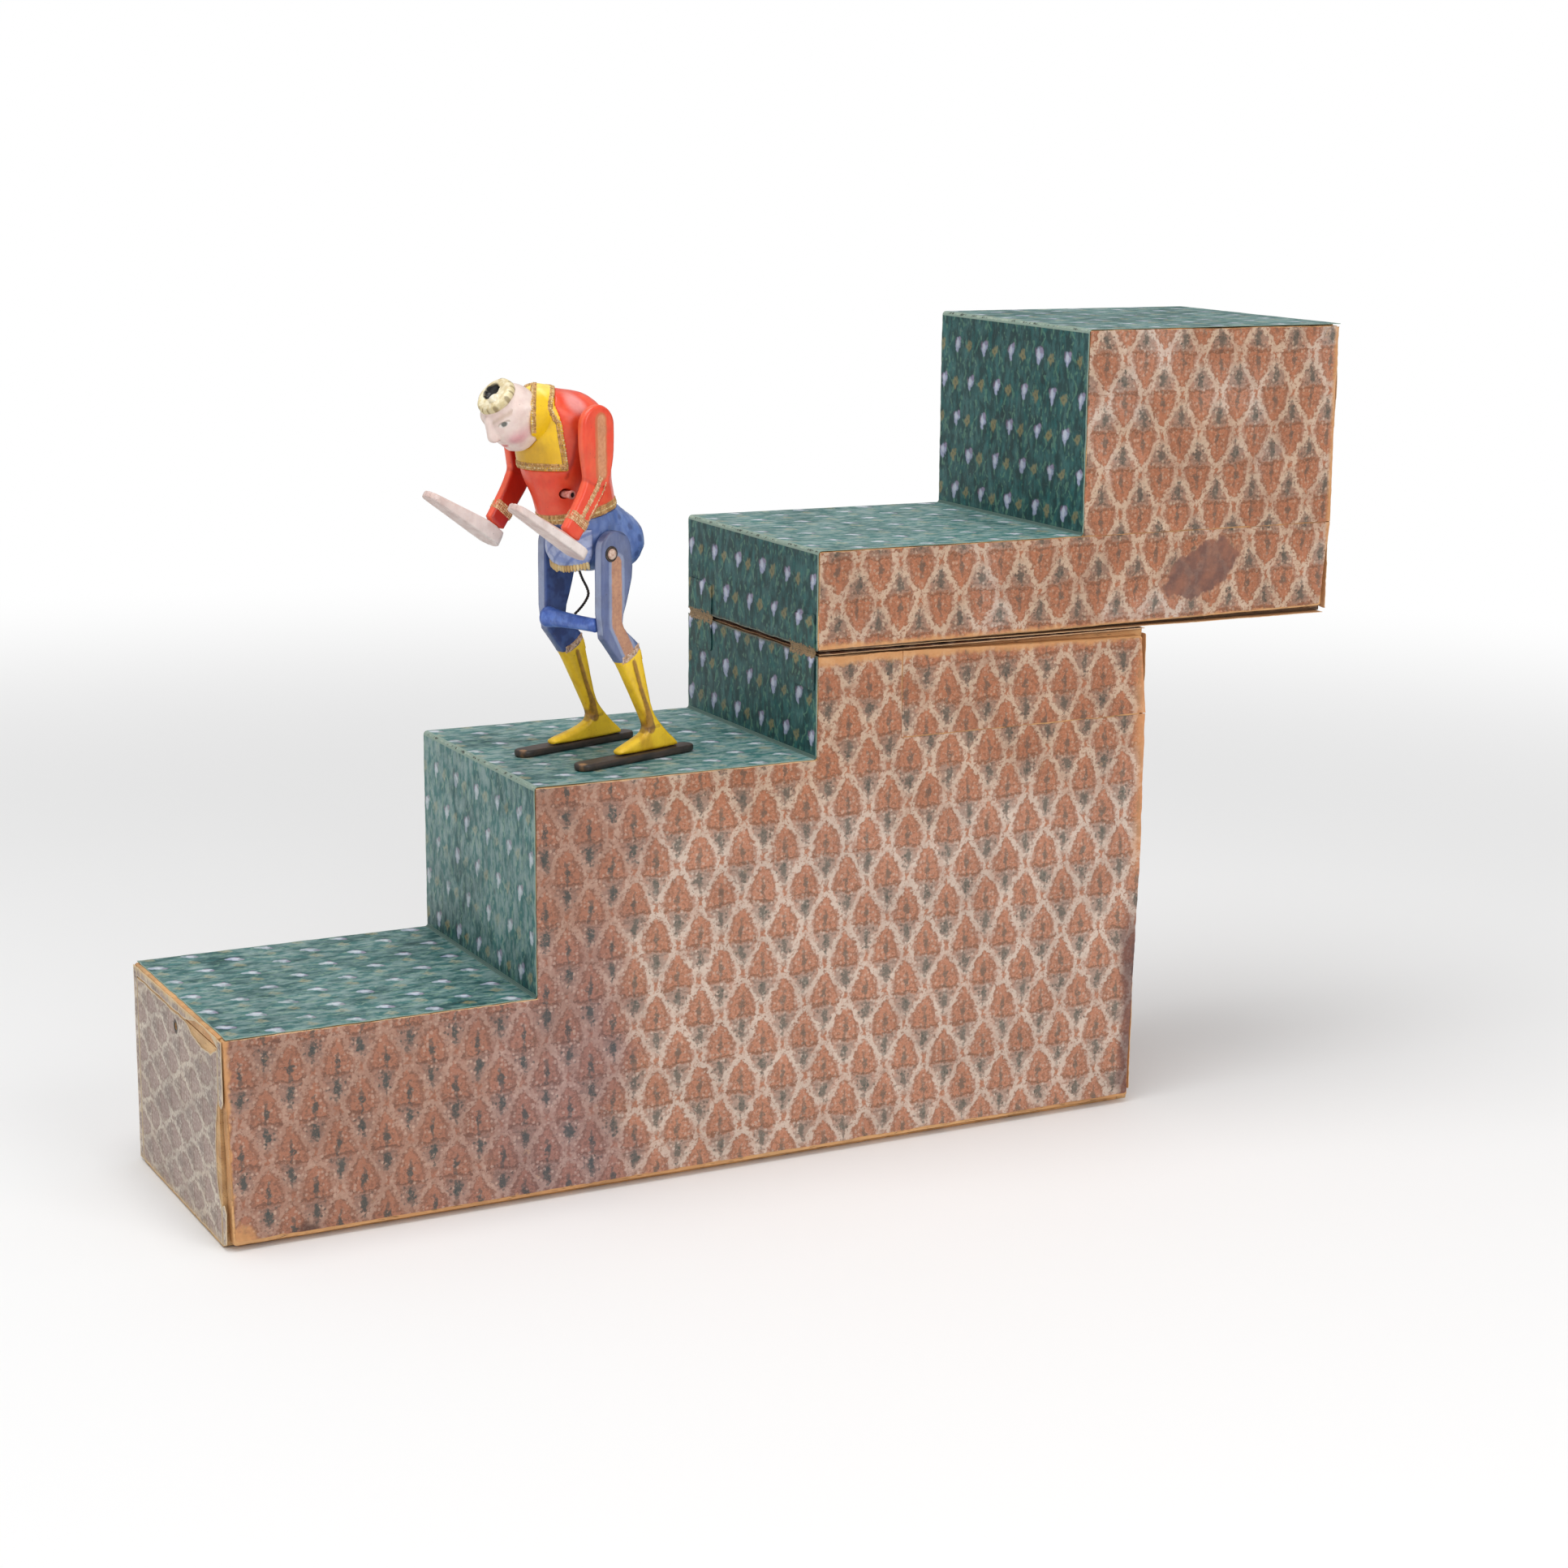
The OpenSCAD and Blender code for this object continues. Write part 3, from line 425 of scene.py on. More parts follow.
def makeSidePaper(name, stainFrom=None, warmth=0.5, topWorn=False, patch=None, upright=1.0):
    made, tree, shader = newMaterial(name)
    sheet = printMap(tree)
    place = placeIn(tree)
    x, _, z = parts(place)
    edge = attribute(tree, "edge")
    drift = cloud(place, 34.0, 3.0, 0.6)
    shades = {key: tone(*paperTones[key]) for key in ("ground", "line", "leaf", "rim", "husk", "stem")}
    lattice, stems, flecks = 1.0, 0.72, 0.36

    def shift(share, **towards):
        for key, value in towards.items():
            shades[key] = mixColour(share, shades[key], tone(*value))

    warm = ramp(z + (drift - 0.5) * 70.0, 88.0, 132.0) if stainFrom is not None else ramp(drift, 0.3, 0.5)
    shift(warm * warmth, ground=(182, 132, 106), line=(222, 194, 166), leaf=(188, 112, 72), rim=(134, 84, 56),
        husk=(142, 120, 104), stem=(62, 72, 66))
    if stainFrom is not None:  # the damp-darkened left end, greyest and most purple beside the second rise
        damp = ramp(x + (drift - 0.5) * 60.0, stainFrom + 16.0, stainFrom - 12.0)
        purple = damp * ramp(abs(x + 44.0) + (drift - 0.5) * 60.0, 44.0, 8.0) * ramp(z + (drift - 0.5) * 60.0, 90.0,
            34.0)
        shift(damp * 0.9, ground=(164, 118, 98), line=(196, 160, 140), leaf=(174, 114, 88), rim=(116, 80, 66),
            husk=(146, 116, 104), stem=(54, 72, 72))
        shift(purple * 0.7, ground=(154, 122, 118), line=(192, 164, 158), leaf=(154, 110, 104), rim=(110, 80, 78),
            husk=(138, 116, 114), stem=(60, 74, 80))
        lattice = 1.0 - damp * (ramp(cloud(place, 9.0, 2.0), 0.4, 0.6) * 0.4 + 0.22)
        flecks = damp * 0.3 + 0.36
        stems = damp * 0.28 + 0.72
    pattern = useGroup("ogee", Place=sheet, Ground=shades["ground"], Line=shades["line"], Leaf=shades["leaf"],
        Rim=shades["rim"], Husk=shades["husk"], Stem=shades["stem"], Lattice=lattice, Stems=stems, Flecks=flecks,
        Upright=upright)
    worn = useGroup("wear", Place=sheet, Edge=edge, Reach=0.5, Scuffs=0.4, Print=pattern.color,
        Core=tone(*paperTones["core"]), Dirt=tone(*paperTones["dirt"]))
    colour = worn.color
    if warmth > 0.6:
        colour = colour.under((warm * 0.1, tone(96, 62, 42)))  # yellowed varnish
    if patch:  # a place where the paper was scraped and varnished over, smooth and brown
        px, pz, rx, rz, lean = patch
        da = ((x - px) * cos(lean) + (z - pz) * sin(lean)) / rx
        db = ((z - pz) * cos(lean) - (x - px) * sin(lean)) / rz
        ring = (da * da + db * db).root() + (cloud(place, 5.0, 3.0)
            - 0.5) * 0.7 + (cloud(stretched(place, 1.0, 1.0, 0.4), 1.6, 2.0) - 0.5) * 0.45
        inPatch = ramp(ring, 1.08, 0.9)
        colour = colour.under((inPatch * 0.88, mixColour(ramp(cloud(place, 4.0, 3.0), 0.35, 0.65), tone(140, 94, 76),
            tone(108, 76, 68))), (ramp(abs(ring - 1.04), 0.08, 0.02) * 0.2, tone(206, 160, 128)))
        patchiness = (cloud(place, 6.0, 3.0, 0.65) - 0.5) * 3.5 + (cloud(place, 1.4, 2.0) - 0.5) * 1.2
        foot = ramp(z + patchiness, 153.4, 151.6).most(ramp(x + patchiness * 0.6, 209.6, 211.4))
        colour = colour.under((foot * 0.8, mixColour(cloud(place, 3.0), tone(222, 168, 112), tone(196, 136, 84))))
    if topWorn:  # handling has rubbed the right edge and the foot
        rub = ramp(x + (drift - 0.5) * 8.0, 140.0, 145.0) * ramp(z, 66.0, 92.0)
        patchiness = (cloud(place, 6.0, 3.0, 0.65) - 0.5) * 7.0 + (cloud(place, 1.4, 2.0) - 0.5) * 3.0
        foot = ramp(z + patchiness, 2.6, 0.8).most(ramp(x + 146.0 + patchiness * 0.6, 2.6,
            1.2)).most(ramp(z + patchiness * 0.7, 146.0, 148.4))
        bottomLeft = ((x + 143.0) * (x + 143.0) + (z - 2.0) * (z - 2.0)).root() + patchiness
        colour = colour.under((foot.most(ramp(bottomLeft, 7.0, 3.5)) * 0.85,
            mixColour(cloud(place, 3.0), tone(222, 168, 112), tone(196, 136, 84))))
        soot = ramp(x + (cloud(place, 6.0) - 0.5) * 6.0, 138.0, 142.0) * ramp(z + (drift - 0.5) * 20.0, 70.0, 52.0)
        colour = colour.under(
            (rub * 0.8, tone(214, 150, 98)),
            (soot * 0.7, tone(88, 58, 58)))
        spot = ((x + 123.0) * (x + 123.0) + (z - 2.5) * (z - 2.5)).root() + (cloud(place, 3.0) - 0.5) * 4.0
        colour = colour.under((ramp(spot, 4.2, 1.6) * 0.8, tone(72, 50, 44)))
    height = worn.height + pattern.ink * 0.25
    finishMaterial(tree, shader, colour, (0.55 + cloud(place, 5.0) * 0.25).clip(), height, 0.09,
        Specular_IOR_Level=0.42)
    return made


def greenPrint(sheet, fade):
    def between(fresh, bleachedAndLit):
        return mixColour(fade, tone(*fresh), tone(*bleachedAndLit))

    return useGroup("buds", Place=sheet, Ground=between((0, 82, 82), (132, 160, 158)),
        Shade=between((0, 50, 52), (66, 122, 120)), Bright=between((12, 108, 106), (164, 182, 180)),
        Bud=between((168, 174, 206), (196, 208, 212)), Flower=between((142, 130, 84), (168, 174, 154)),
        Tendril=between((84, 134, 112), (150, 176, 160)), Worn=fade)


def makeGreenPaper():
    made, tree, shader = newMaterial("greenPaper")
    sheet = printMap(tree)
    place = placeIn(tree)
    edge = attribute(tree, "edge")
    fadedAndLit = attribute(tree, "fade")
    z = parts(place)[2]
    drift = cloud(place, 26.0, 4.0, 0.62)
    streaks = cloud(stretched(place, 0.5, 1.0, 0.6), 5.0, 4.0, 0.7)
    # the treads' paleness is partly bleaching and dust and partly painted light from above
    fade = (fadedAndLit + ((drift - 0.5) * 2.0 + (streaks - 0.5) * 2.6) * ramp(fadedAndLit, 0.02, 0.3)).clip()
    pattern = greenPrint(sheet, fade)
    worn = useGroup("wear", Place=sheet, Edge=edge, Reach=0.45, Scuffs=0.55, Print=pattern.color,
        Core=tone(140, 160, 146), Dirt=tone(20, 48, 46))
    crest = attribute(tree, "crest")  # how near a nosing or a rise's foot the place is
    nicks = ramp(crest + (cloud(place, 1.7, 3.0, 0.7) - 0.5) * 1.9, 0.84, 1.06)
    colour = mixColour(nicks * 0.45, worn.color, tone(186, 196, 176))
    colour = colour.under(
        (nicks * ramp(cloud(place, 3.4), 0.52, 0.6) * 0.85, tone(20, 30, 28)),
        (ramp(crest, -0.15, -0.7) * 0.75, tone(20, 66, 64)))  # painted shade in the inner folds
    # at the seam the paper is frayed brown and darkened with painted shade of the gap
    seam = ramp(abs(z - 150.4) + (cloud(place, 2.0) - 0.5) * 1.6, 2.2, 0.5) * ramp(fadedAndLit, 0.4, 0.2)
    colour = colour.under((seam * 0.75, mixColour(ramp(cloud(place, 1.6), 0.42, 0.58), tone(96, 78, 52),
        tone(20, 24, 22))))
    height = worn.height + pattern.ink * 0.2 - nicks * 0.6
    finishMaterial(tree, shader, colour, (0.42 + cloud(place, 4.0) * 0.24).clip(), height, 0.08,
        Specular_IOR_Level=0.38)
    return made


def makeDrawerPaper():
    made, tree, shader = newMaterial("drawerPaper")
    sheet = printMap(tree)
    place = placeIn(tree)
    drift = cloud(place, 20.0, 3.0)
    ground = mixColour(ramp(drift, 0.35, 0.65), tone(206, 188, 168), tone(176, 160, 148))
    pattern = useGroup("ogee", Place=sheet, Width=11.2, Height=20.6, Ground=ground, Line=tone(230, 220, 204),
        Leaf=tone(178, 154, 146), Rim=tone(138, 114, 104), Husk=tone(160, 144, 136), Stem=tone(126, 110, 104),
        Lattice=ramp(cloud(place, 9.0, 2.0, 0.6), 0.3, 0.62) * 0.75 + 0.2, Stems=0.0)
    worn = useGroup("wear", Place=sheet, Edge=attribute(tree, "edge"), Reach=0.45, Scuffs=0.5, Print=pattern.color,
        Core=tone(212, 194, 164), Dirt=tone(104, 88, 78))
    _, y, z = parts(place)
    ragged = (cloud(place, 2.6, 3.0, 0.65) - 0.5) * 4.0
    bare = ramp(z + ragged, 57.4, 59.6).most(ramp(z + ragged, 3.0, 1.0) * 0.6)
    colour = mixColour(bare * 0.7, worn.color, mixColour(cloud(place, 3.0), tone(228, 206, 160), tone(196, 160, 108)))
    fromPull = ((y * y) + (z - 52.1) * (z - 52.1)).root() + ragged * 0.15  # greasy dark ring where the pull sat
    colour = colour.under((ramp(fromPull, 2.5, 1.5) * 0.9, tone(46, 36, 32)))
    finishMaterial(tree, shader, colour, (0.5 + cloud(place, 5.0) * 0.3).clip(), worn.height + pattern.ink * 0.2, 0.08)
    return made


def makeWood(name, along="x", pale=(226, 178, 122), dark=(196, 140, 88), grime=0.35):
    made, tree, shader = newMaterial(name)
    place = placeIn(tree)
    x, y, z = parts(place)
    turned = {"x": (x, y, z), "y": (y, x, z), "z": (z, y, x)}[along]
    grain = useGroup("wood", Place=joined(tree, *turned), Pale=tone(*pale), Dark=tone(*dark), Grime=grime)
    rubs = ramp(cloud(place, 3.0, 3.0, 0.7), 0.55, 0.75)
    colour = mixColour(rubs * 0.35, grain.color, tone(228, 184, 130))
    # painted shade: the wood darkens towards the seam between the box's two parts
    colour = colour.under((ramp(abs(z - 150.5) + (cloud(place, 2.0) - 0.5), 2.0, 0.6) * 0.85, tone(34, 26, 20)))
    finishMaterial(tree, shader, colour, (0.5 + cloud(place, 6.0) * 0.25).clip(), grain.height - rubs * 0.3, 0.12)
    return made


def makeLinen():
    made, tree, shader = newMaterial("linen")
    sheet = printMap(tree)
    p, q, _ = parts(sheet)
    warp = (p * (2 * pi / 0.55)).sine()
    weft = (q * (2 * pi / 0.6)).sine()
    weave = (warp.most(weft) + 1.0) * 0.5
    drift = cloud(sheet, 5.0, 3.0)
    colour = mixColour(drift, tone(172, 142, 100), tone(128, 98, 66))
    colour = colour.under((ramp(weave, 0.5, 0.1) * 0.5, tone(70, 52, 38)))
    steady = Wire(tree, addNode(tree, "Value").outputs[0])
    steady.socket.default_value = 0.06  # the cloth's paper is hardly bleached
    covered = attribute(tree, "paint")  # the stairs' paper goes on over the cloth but for a torn band
    chips = ramp(covered + (cloud(sheet, 1.8, 4.0, 0.75) - 0.5) * 2.4, 0.4, 0.52)
    colour = colour.under(
        (ramp(cloud(sheet, 1.2, 3.0, 0.7), 0.5, 0.62) * 0.6, tone(84, 66, 44)),
        (chips * 0.95, greenPrint(sheet, steady).color))
    finishMaterial(tree, shader, colour, 0.8, weave * (1.0 - chips) + cloud(sheet, 0.8) * 0.5, 0.1, Sheen_Weight=0.1)
    return made


woodLong = makeWood("caseWoodLong", "x")
woodAcross = makeWood("caseWoodAcross", "y", (226, 186, 132), (190, 140, 90), 0.3)
paperBaseNear = makeSidePaper("sidePaperBase", stainFrom=-30.0, warmth=0.9, topWorn=True)
paperUpperNear = makeSidePaper("sidePaperUpper", warmth=0.95, patch=(164.5, 166.5, 14.5, 7.6, 0.42), upright=-1.0)
paperPlain = makeSidePaper("sidePaperPlain")
paperUpperPlain = makeSidePaper("sidePaperUpperPlain", upright=-1.0)
greenPaper = makeGreenPaper()
drawerPaper = makeDrawerPaper()
linen = makeLinen()
print("materials of the box are ready")


# sheets, boards and other ways of making a mesh
def makeObject(name, points, faces, material, smooth=True, recalculate=True):
    data = bpy.data.meshes.new(name)
    data.from_pydata([tuple(c * mm for c in p) for p in points], [], [tuple(int(i) for i in f) for f in faces])
    if recalculate:
        sides = bmesh.new()
        sides.from_mesh(data)
        bmesh.ops.remove_doubles(sides, verts=sides.verts, dist=1e-7)
        bmesh.ops.recalc_face_normals(sides, faces=sides.faces)
        sides.to_mesh(data)
        sides.free()
    data.polygons.foreach_set("use_smooth", [smooth] * len(data.polygons))
    data.materials.append(material)
    return linked(name, data)


def give(made, body, node=None):
    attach(made, body)
    if node:
        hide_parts(node)
    return made


def shellOf(faces, count):  # two like layers of points, joined by walls along their free edges
    edges = [(int(f[i]), int(f[(i + 1) % 3])) for f in faces for i in range(3)]
    known = set(edges)
    under = [tuple(int(i) + count for i in f[::-1]) for f in faces]
    return [tuple(f) for f in faces] + under + [(b, a, a + count, b + count) for a, b in edges if (b, a) not in known]


def tubeFaces(rings, sides, first=0):  # a closed tube whose points come ring by ring
    def point(j, k):
        return first + j * sides + k % sides

    faces = [(point(j, k), point(j, k + 1), point(j + 1, k + 1), point(j + 1, k)) for j in range(rings - 1)
        for k in range(sides)]
    return faces + [tuple(point(0, k) for k in range(sides)),
        tuple(point(rings - 1, k) for k in reversed(range(sides)))]


def remapPrint(made, rule):
    for item in made.data.uv_layers["print"].data:
        item.uv = rule(*item.uv)


def bake(made):  # live modifiers become the mesh itself
    view = bpy.context.view_layer
    view.update()
    data = bpy.data.meshes.new_from_object(made.evaluated_get(bpy.context.evaluated_depsgraph_get()))
    made.modifiers.clear()
    made.data = data
    return made


def bevelled(made, width):
    edge = made.modifiers.new("bevel", "BEVEL")
    edge.width = width * mm
    edge.segments = 2
    edge.limit_method = "ANGLE"
    edge.angle_limit = radians(50)
    return bake(made)


def shadeByAngle(made, angle):
    made.data.polygons.foreach_set("use_smooth", [True] * len(made.data.polygons))
    sharp = bmesh.new()
    sharp.from_mesh(made.data)
    for e in sharp.edges:
        e.smooth = len(e.link_faces) != 2 or e.calc_face_angle() < radians(angle)
    sharp.to_mesh(made.data)
    sharp.free()
    return made


def leanBack(x, y, z):  # the upper part leans back on the column by a quarter of a degree
    turn = radians(0.25)
    dx, dz = x - 31.6, z - 150.4
    return 31.6 + dx * cos(turn) + dz * sin(turn), y, 150.4 - dx * sin(turn) + dz * cos(turn)


def level(x, y, z):
    return x, y, z


def rounded(outline, radii):  # corners of an outline turned into arcs; radii by corner number
    made = []
    for i, corner in enumerate(outline):
        r = radii.get(i, 0)
        c = Vector(corner)
        if not r:
            made.append(c)
            continue
        before = (Vector(outline[i - 1]) - c).normalized()
        after = (Vector(outline[(i + 1) % len(outline)]) - c).normalized()
        half = before.angle(after) / 2
        run = r / tan(half)
        middle = c + (before + after).normalized() * (r / sin(half))
        start, end = c + before * run - middle, c + after * run - middle
        for k in range(6):
            made.append(middle + start.slerp(end, k / 5, start))
    return made


def densified(outline, step, closed=True):
    made = []
    count = len(outline)
    for i in range(count if closed else count - 1):
        a, b = Vector(outline[i]), Vector(outline[(i + 1) % count])
        n = max(1, ceil((b - a).length / step))
        made += [a.lerp(b, k / n) for k in range(n)]
    return made if closed else made + [Vector(outline[-1])]


def bumps(*place):
    return noise.noise(Vector(place))


def wander(p, scale, seed):
    return bumps(p[0] / scale, p[1] / scale, seed)


# every point of a closed outline moves inwards by an uneven amount
def frayed(outline, amount, seed, coarse=9.0, fine=1.7):
    count = len(outline)
    area = sum(outline[i][0] * outline[(i + 1) % count][1] - outline[(i + 1) % count][0] * outline[i][1]
        for i in range(count))
    made = []
    for i, p in enumerate(outline):
        along = (outline[(i + 1) % count] - outline[i - 1]).normalized()
        inward = Vector((-along[1], along[0])) * (1 if area > 0 else -1)
        r = amount(p) if callable(amount) else amount
        push = r * (0.55 + 0.9 * wander(p, coarse, seed) + 0.55 * wander(p, fine, seed + 7.3))
        made.append(p + inward * max(0.0, push))
    return made


def insideOf(points, loop):
    x, y = points[:, 0][:, None], points[:, 1][:, None]
    a = np.array([tuple(p) for p in loop])
    b = np.roll(a, -1, axis=0)
    crosses = (a[:, 1] > y) != (b[:, 1] > y)
    with np.errstate(divide="ignore", invalid="ignore"):
        at = (b[:, 0] - a[:, 0]) * (y - a[:, 1]) / (b[:, 1] - a[:, 1]) + a[:, 0]
    return (crosses & (x < at)).sum(1) % 2 == 1


def distanceTo(points, loop):
    a = np.array([tuple(p) for p in loop])
    d = np.roll(a, -1, axis=0) - a
    best = np.full(len(points), 1e9)
    for k in range(len(a)):
        rel = points - a[k]
        t = np.clip((rel @ d[k]) / max(1e-12, d[k] @ d[k]), 0, 1)
        best = np.minimum(best, np.hypot(*(rel - t[:, None] * d[k]).T))
    return best


def lineDistance(flat, path):
    path = np.array(path, float)
    best = np.full(len(flat), 1e9)
    for a, b in zip(path[:-1], path[1:]):
        d = b - a
        t = np.clip(((flat - a) @ d) / (d @ d), 0, 1)
        best = np.minimum(best, np.linalg.norm(flat - a - t[:, None] * d, axis=1))
    return best


# first loop is the outside, the others are holes
def triangulated(loops, step, rings=(0.45, 1.2), breaks=(), jitter=0.3, seed=1):
    random = np.random.default_rng(seed)
    edges, points = [], []
    for loop in loops:
        start = len(points)
        points += [tuple(p) for p in loop]
        edges += [(start + i, start + (i + 1) % len(loop)) for i in range(len(loop))]
    outer = np.array(points[:len(loops[0])])
    low, high = outer.min(0), outer.max(0)
    gx, gy = np.meshgrid(np.arange(low[0] + step / 2, high[0], step),
        np.arange(low[1] + step / 2, high[1], step * 0.87))
    gx[1::2] += step / 2
    grid = np.stack([gx.ravel(), gy.ravel()], 1)
    grid += random.uniform(-jitter, jitter, grid.shape) * step
    for ring in rings:
        for loop in loops:
            n = len(loop)
            for i in range(n):
                along = (loop[(i + 1) % n] - loop[i - 1]).normalized()
                side = Vector((-along[1], along[0]))
                grid = np.vstack([grid, [tuple(loop[i] + side * ring)], [tuple(loop[i] - side * ring)]])
    keep = insideOf(grid, loops[0])
    for hole in loops[1:]:
        keep &= ~insideOf(grid, hole)
    grid = grid[keep]
    away = np.min([distanceTo(grid, loop) for loop in loops], axis=0)
    grid = grid[away > (min(rings) * 0.7 if rings else step * 0.3)]
    for s in breaks:
        grid = grid[np.abs(grid[:, 0] - s) > step * 0.25]
    points += [tuple(p) for p in grid]
    for s in breaks:
        start = len(points)
        points += [(s, high[1] + 1), (s, low[1] - 1)]
        edges.append((start, start + 1))
    verts, _, faces, _, _, _ = geometry.delaunay_2d_cdt([Vector(p) for p in points], edges, [], 0, 1e-5)
    flat = np.array([tuple(v) for v in verts])
    faces = np.array([f for f in faces if len(f) == 3])
    middle = flat[faces].mean(1)
    keep = insideOf(middle, loops[0])
    for hole in loops[1:]:
        keep &= ~insideOf(middle, hole)
    faces = faces[keep]
    used = np.unique(faces)
    renumber = np.full(len(flat), -1)
    renumber[used] = np.arange(len(used))
    flat, faces = flat[used], renumber[faces]
    return flat, faces, np.min([distanceTo(flat, loop) for loop in loops], axis=0)


def thickSheet(name, loops, place, material, thick=0.2, step=4.0, breaks=(), lift=0.0, base=0.0, shift=(0, 0),
        extra=None, rings=(0.45, 1.2), seed=1, rubbed=None):
    flat, faces, edge = triangulated(loops, step, rings, breaks, seed=seed)
    curl = np.array([lift * 0.5 * max(0.0, 1 - e / 1.6) * max(0.0, 0.4 + wander(p, 7.0, seed + 3.1))
        for p, e in zip(flat, edge)])
    swell = np.array([0.015 * wander(p, 5.0, seed + 9.0) for p in flat]) * np.clip(edge / 2, 0, 1)
    top = [place(p[0], p[1], base + thick + c + w) for p, c, w in zip(flat, curl, swell)]
    under = [place(p[0], p[1], base + c * 0.9) for p, c in zip(flat, curl)]
    shell = shellOf(faces, len(flat))
    data = bpy.data.meshes.new(name)
    data.from_pydata([tuple(c * mm for c in p) for p in top + under], [], [tuple(int(i) for i in f) for f in shell])
    uv = data.uv_layers.new(name="print")
    both = np.vstack([flat, flat]) + np.array(shift)
    loopVerts = np.zeros(len(data.loops), int)
    data.loops.foreach_get("vertex_index", loopVerts)
    uv.data.foreach_set("uv", both[loopVerts].astype(np.float32).ravel())
    if rubbed:  # lines along which hands and shelves have rubbed the sheet; its other edges are joints
        edge = np.min([lineDistance(flat, line) for line in rubbed], axis=0)
    values = dict(edge=np.concatenate([edge, edge if rubbed else edge * 0]))
    for key, rule in (extra or {}).items():
        one = np.array([rule(p, e) for p, e in zip(flat, edge)])
        values[key] = np.concatenate([one, one])
    for key, value in values.items():
        data.attributes.new(key, "FLOAT", "POINT").data.foreach_set("value", value.astype(np.float32))
    sides = bmesh.new()
    sides.from_mesh(data)
    bmesh.ops.recalc_face_normals(sides, faces=sides.faces)
    for e in sides.edges:
        e.smooth = len(e.link_faces) == 2 and e.calc_face_angle(0) < radians(50)
    sides.to_mesh(data)
    sides.free()
    data.polygons.foreach_set("use_smooth", [True] * len(data.polygons))
    data.materials.append(material)
    return linked(name, data)


# the box
caseSizes = dict(
    lowOutline=[(-145.75, 0), (145.7, 0), (145.7, 149.7), (32.3, 149.7), (32.3, 119.7), (-55.2, 119.7), (-55.2, 59.7),
    (-145.75, 59.7)],
    highOutline=[(32.3, 151.1), (211.9, 151.1), (211.9, 240.1), (120.9, 240.1), (120.9, 179.7), (32.3, 179.7)],
    lowRadii={0: 2.5, 1: 3.0, 2: 3.0, 5: 1.0, 7: 1.2}, highRadii={0: 0.8, 1: 3.0, 2: 1.4, 3: 1.0, 5: 1.0},
    inner=38.7, outer=42.2, wear=0.22)


def sideBoard(name, outline, radii, y0, y1, pose, seed):
    loop = densified(rounded(outline, radii), 2.4)
    loop = frayed(loop, caseSizes["wear"], seed, coarse=16.0, fine=3.0)
    n = len(loop)
    points = [pose(p[0], y0, p[1]) for p in loop] + [pose(p[0], y1, p[1]) for p in loop]
    faces = [list(range(n)), list(range(2 * n - 1, n - 1, -1))] + [(i, i + n, (i + 1) % n + n, (i + 1) % n)
        for i in range(n)]
    return shadeByAngle(bevelled(makeObject(name, points, faces, woodLong), 0.35), 30)


def plainBoard(name, x0, x1, y0, y1, z0, z1, material, pose=level):
    low, high = Vector((x0, y0, z0)), Vector((x1, y1, z1))
    data = bmesh.new()
    bmesh.ops.create_cube(data, size=1)
    for v in data.verts:
        v.co = (low + high) / 2 + v.co * (high - low)
    bmesh.ops.subdivide_edges(data, edges=list(data.edges), cuts=5, use_grid_fill=True)
    for v in data.verts:
        if sum(1 for c in range(3) if min(v.co[c] - low[c], high[c] - v.co[c]) < 1e-4) >= 2:  # worn edges
            v.co += ((low + high) / 2 - v.co).normalized() * 0.12 * abs(noise.noise(v.co / 9.0))
        v.co = Vector(pose(*v.co)) * mm
    mesh = bpy.data.meshes.new(name)
    data.to_mesh(mesh)
    data.free()
    mesh.materials.append(material)
    return shadeByAngle(bevelled(linked(name, mesh), 0.3), 30)


sideList = [("sideBoardNear", "base", "low", -1, level, "base_side_near"),
    ("sideBoardFar", "base", "low", 1, level, "base_side_far"),
    ("upperSideBoardNear", "upper", "high", -1, leanBack, "upper_side_near"),
    ("upperSideBoardFar", "upper", "high", 1, leanBack, "upper_side_far")]
for seed, (name, body, height, side, pose, node) in enumerate(sideList, 1):
    reach = sorted((side * caseSizes["inner"], side * caseSizes["outer"]))
    give(sideBoard(name, caseSizes[height + "Outline"], caseSizes[height + "Radii"], *reach, pose, float(seed)), body,
        node)

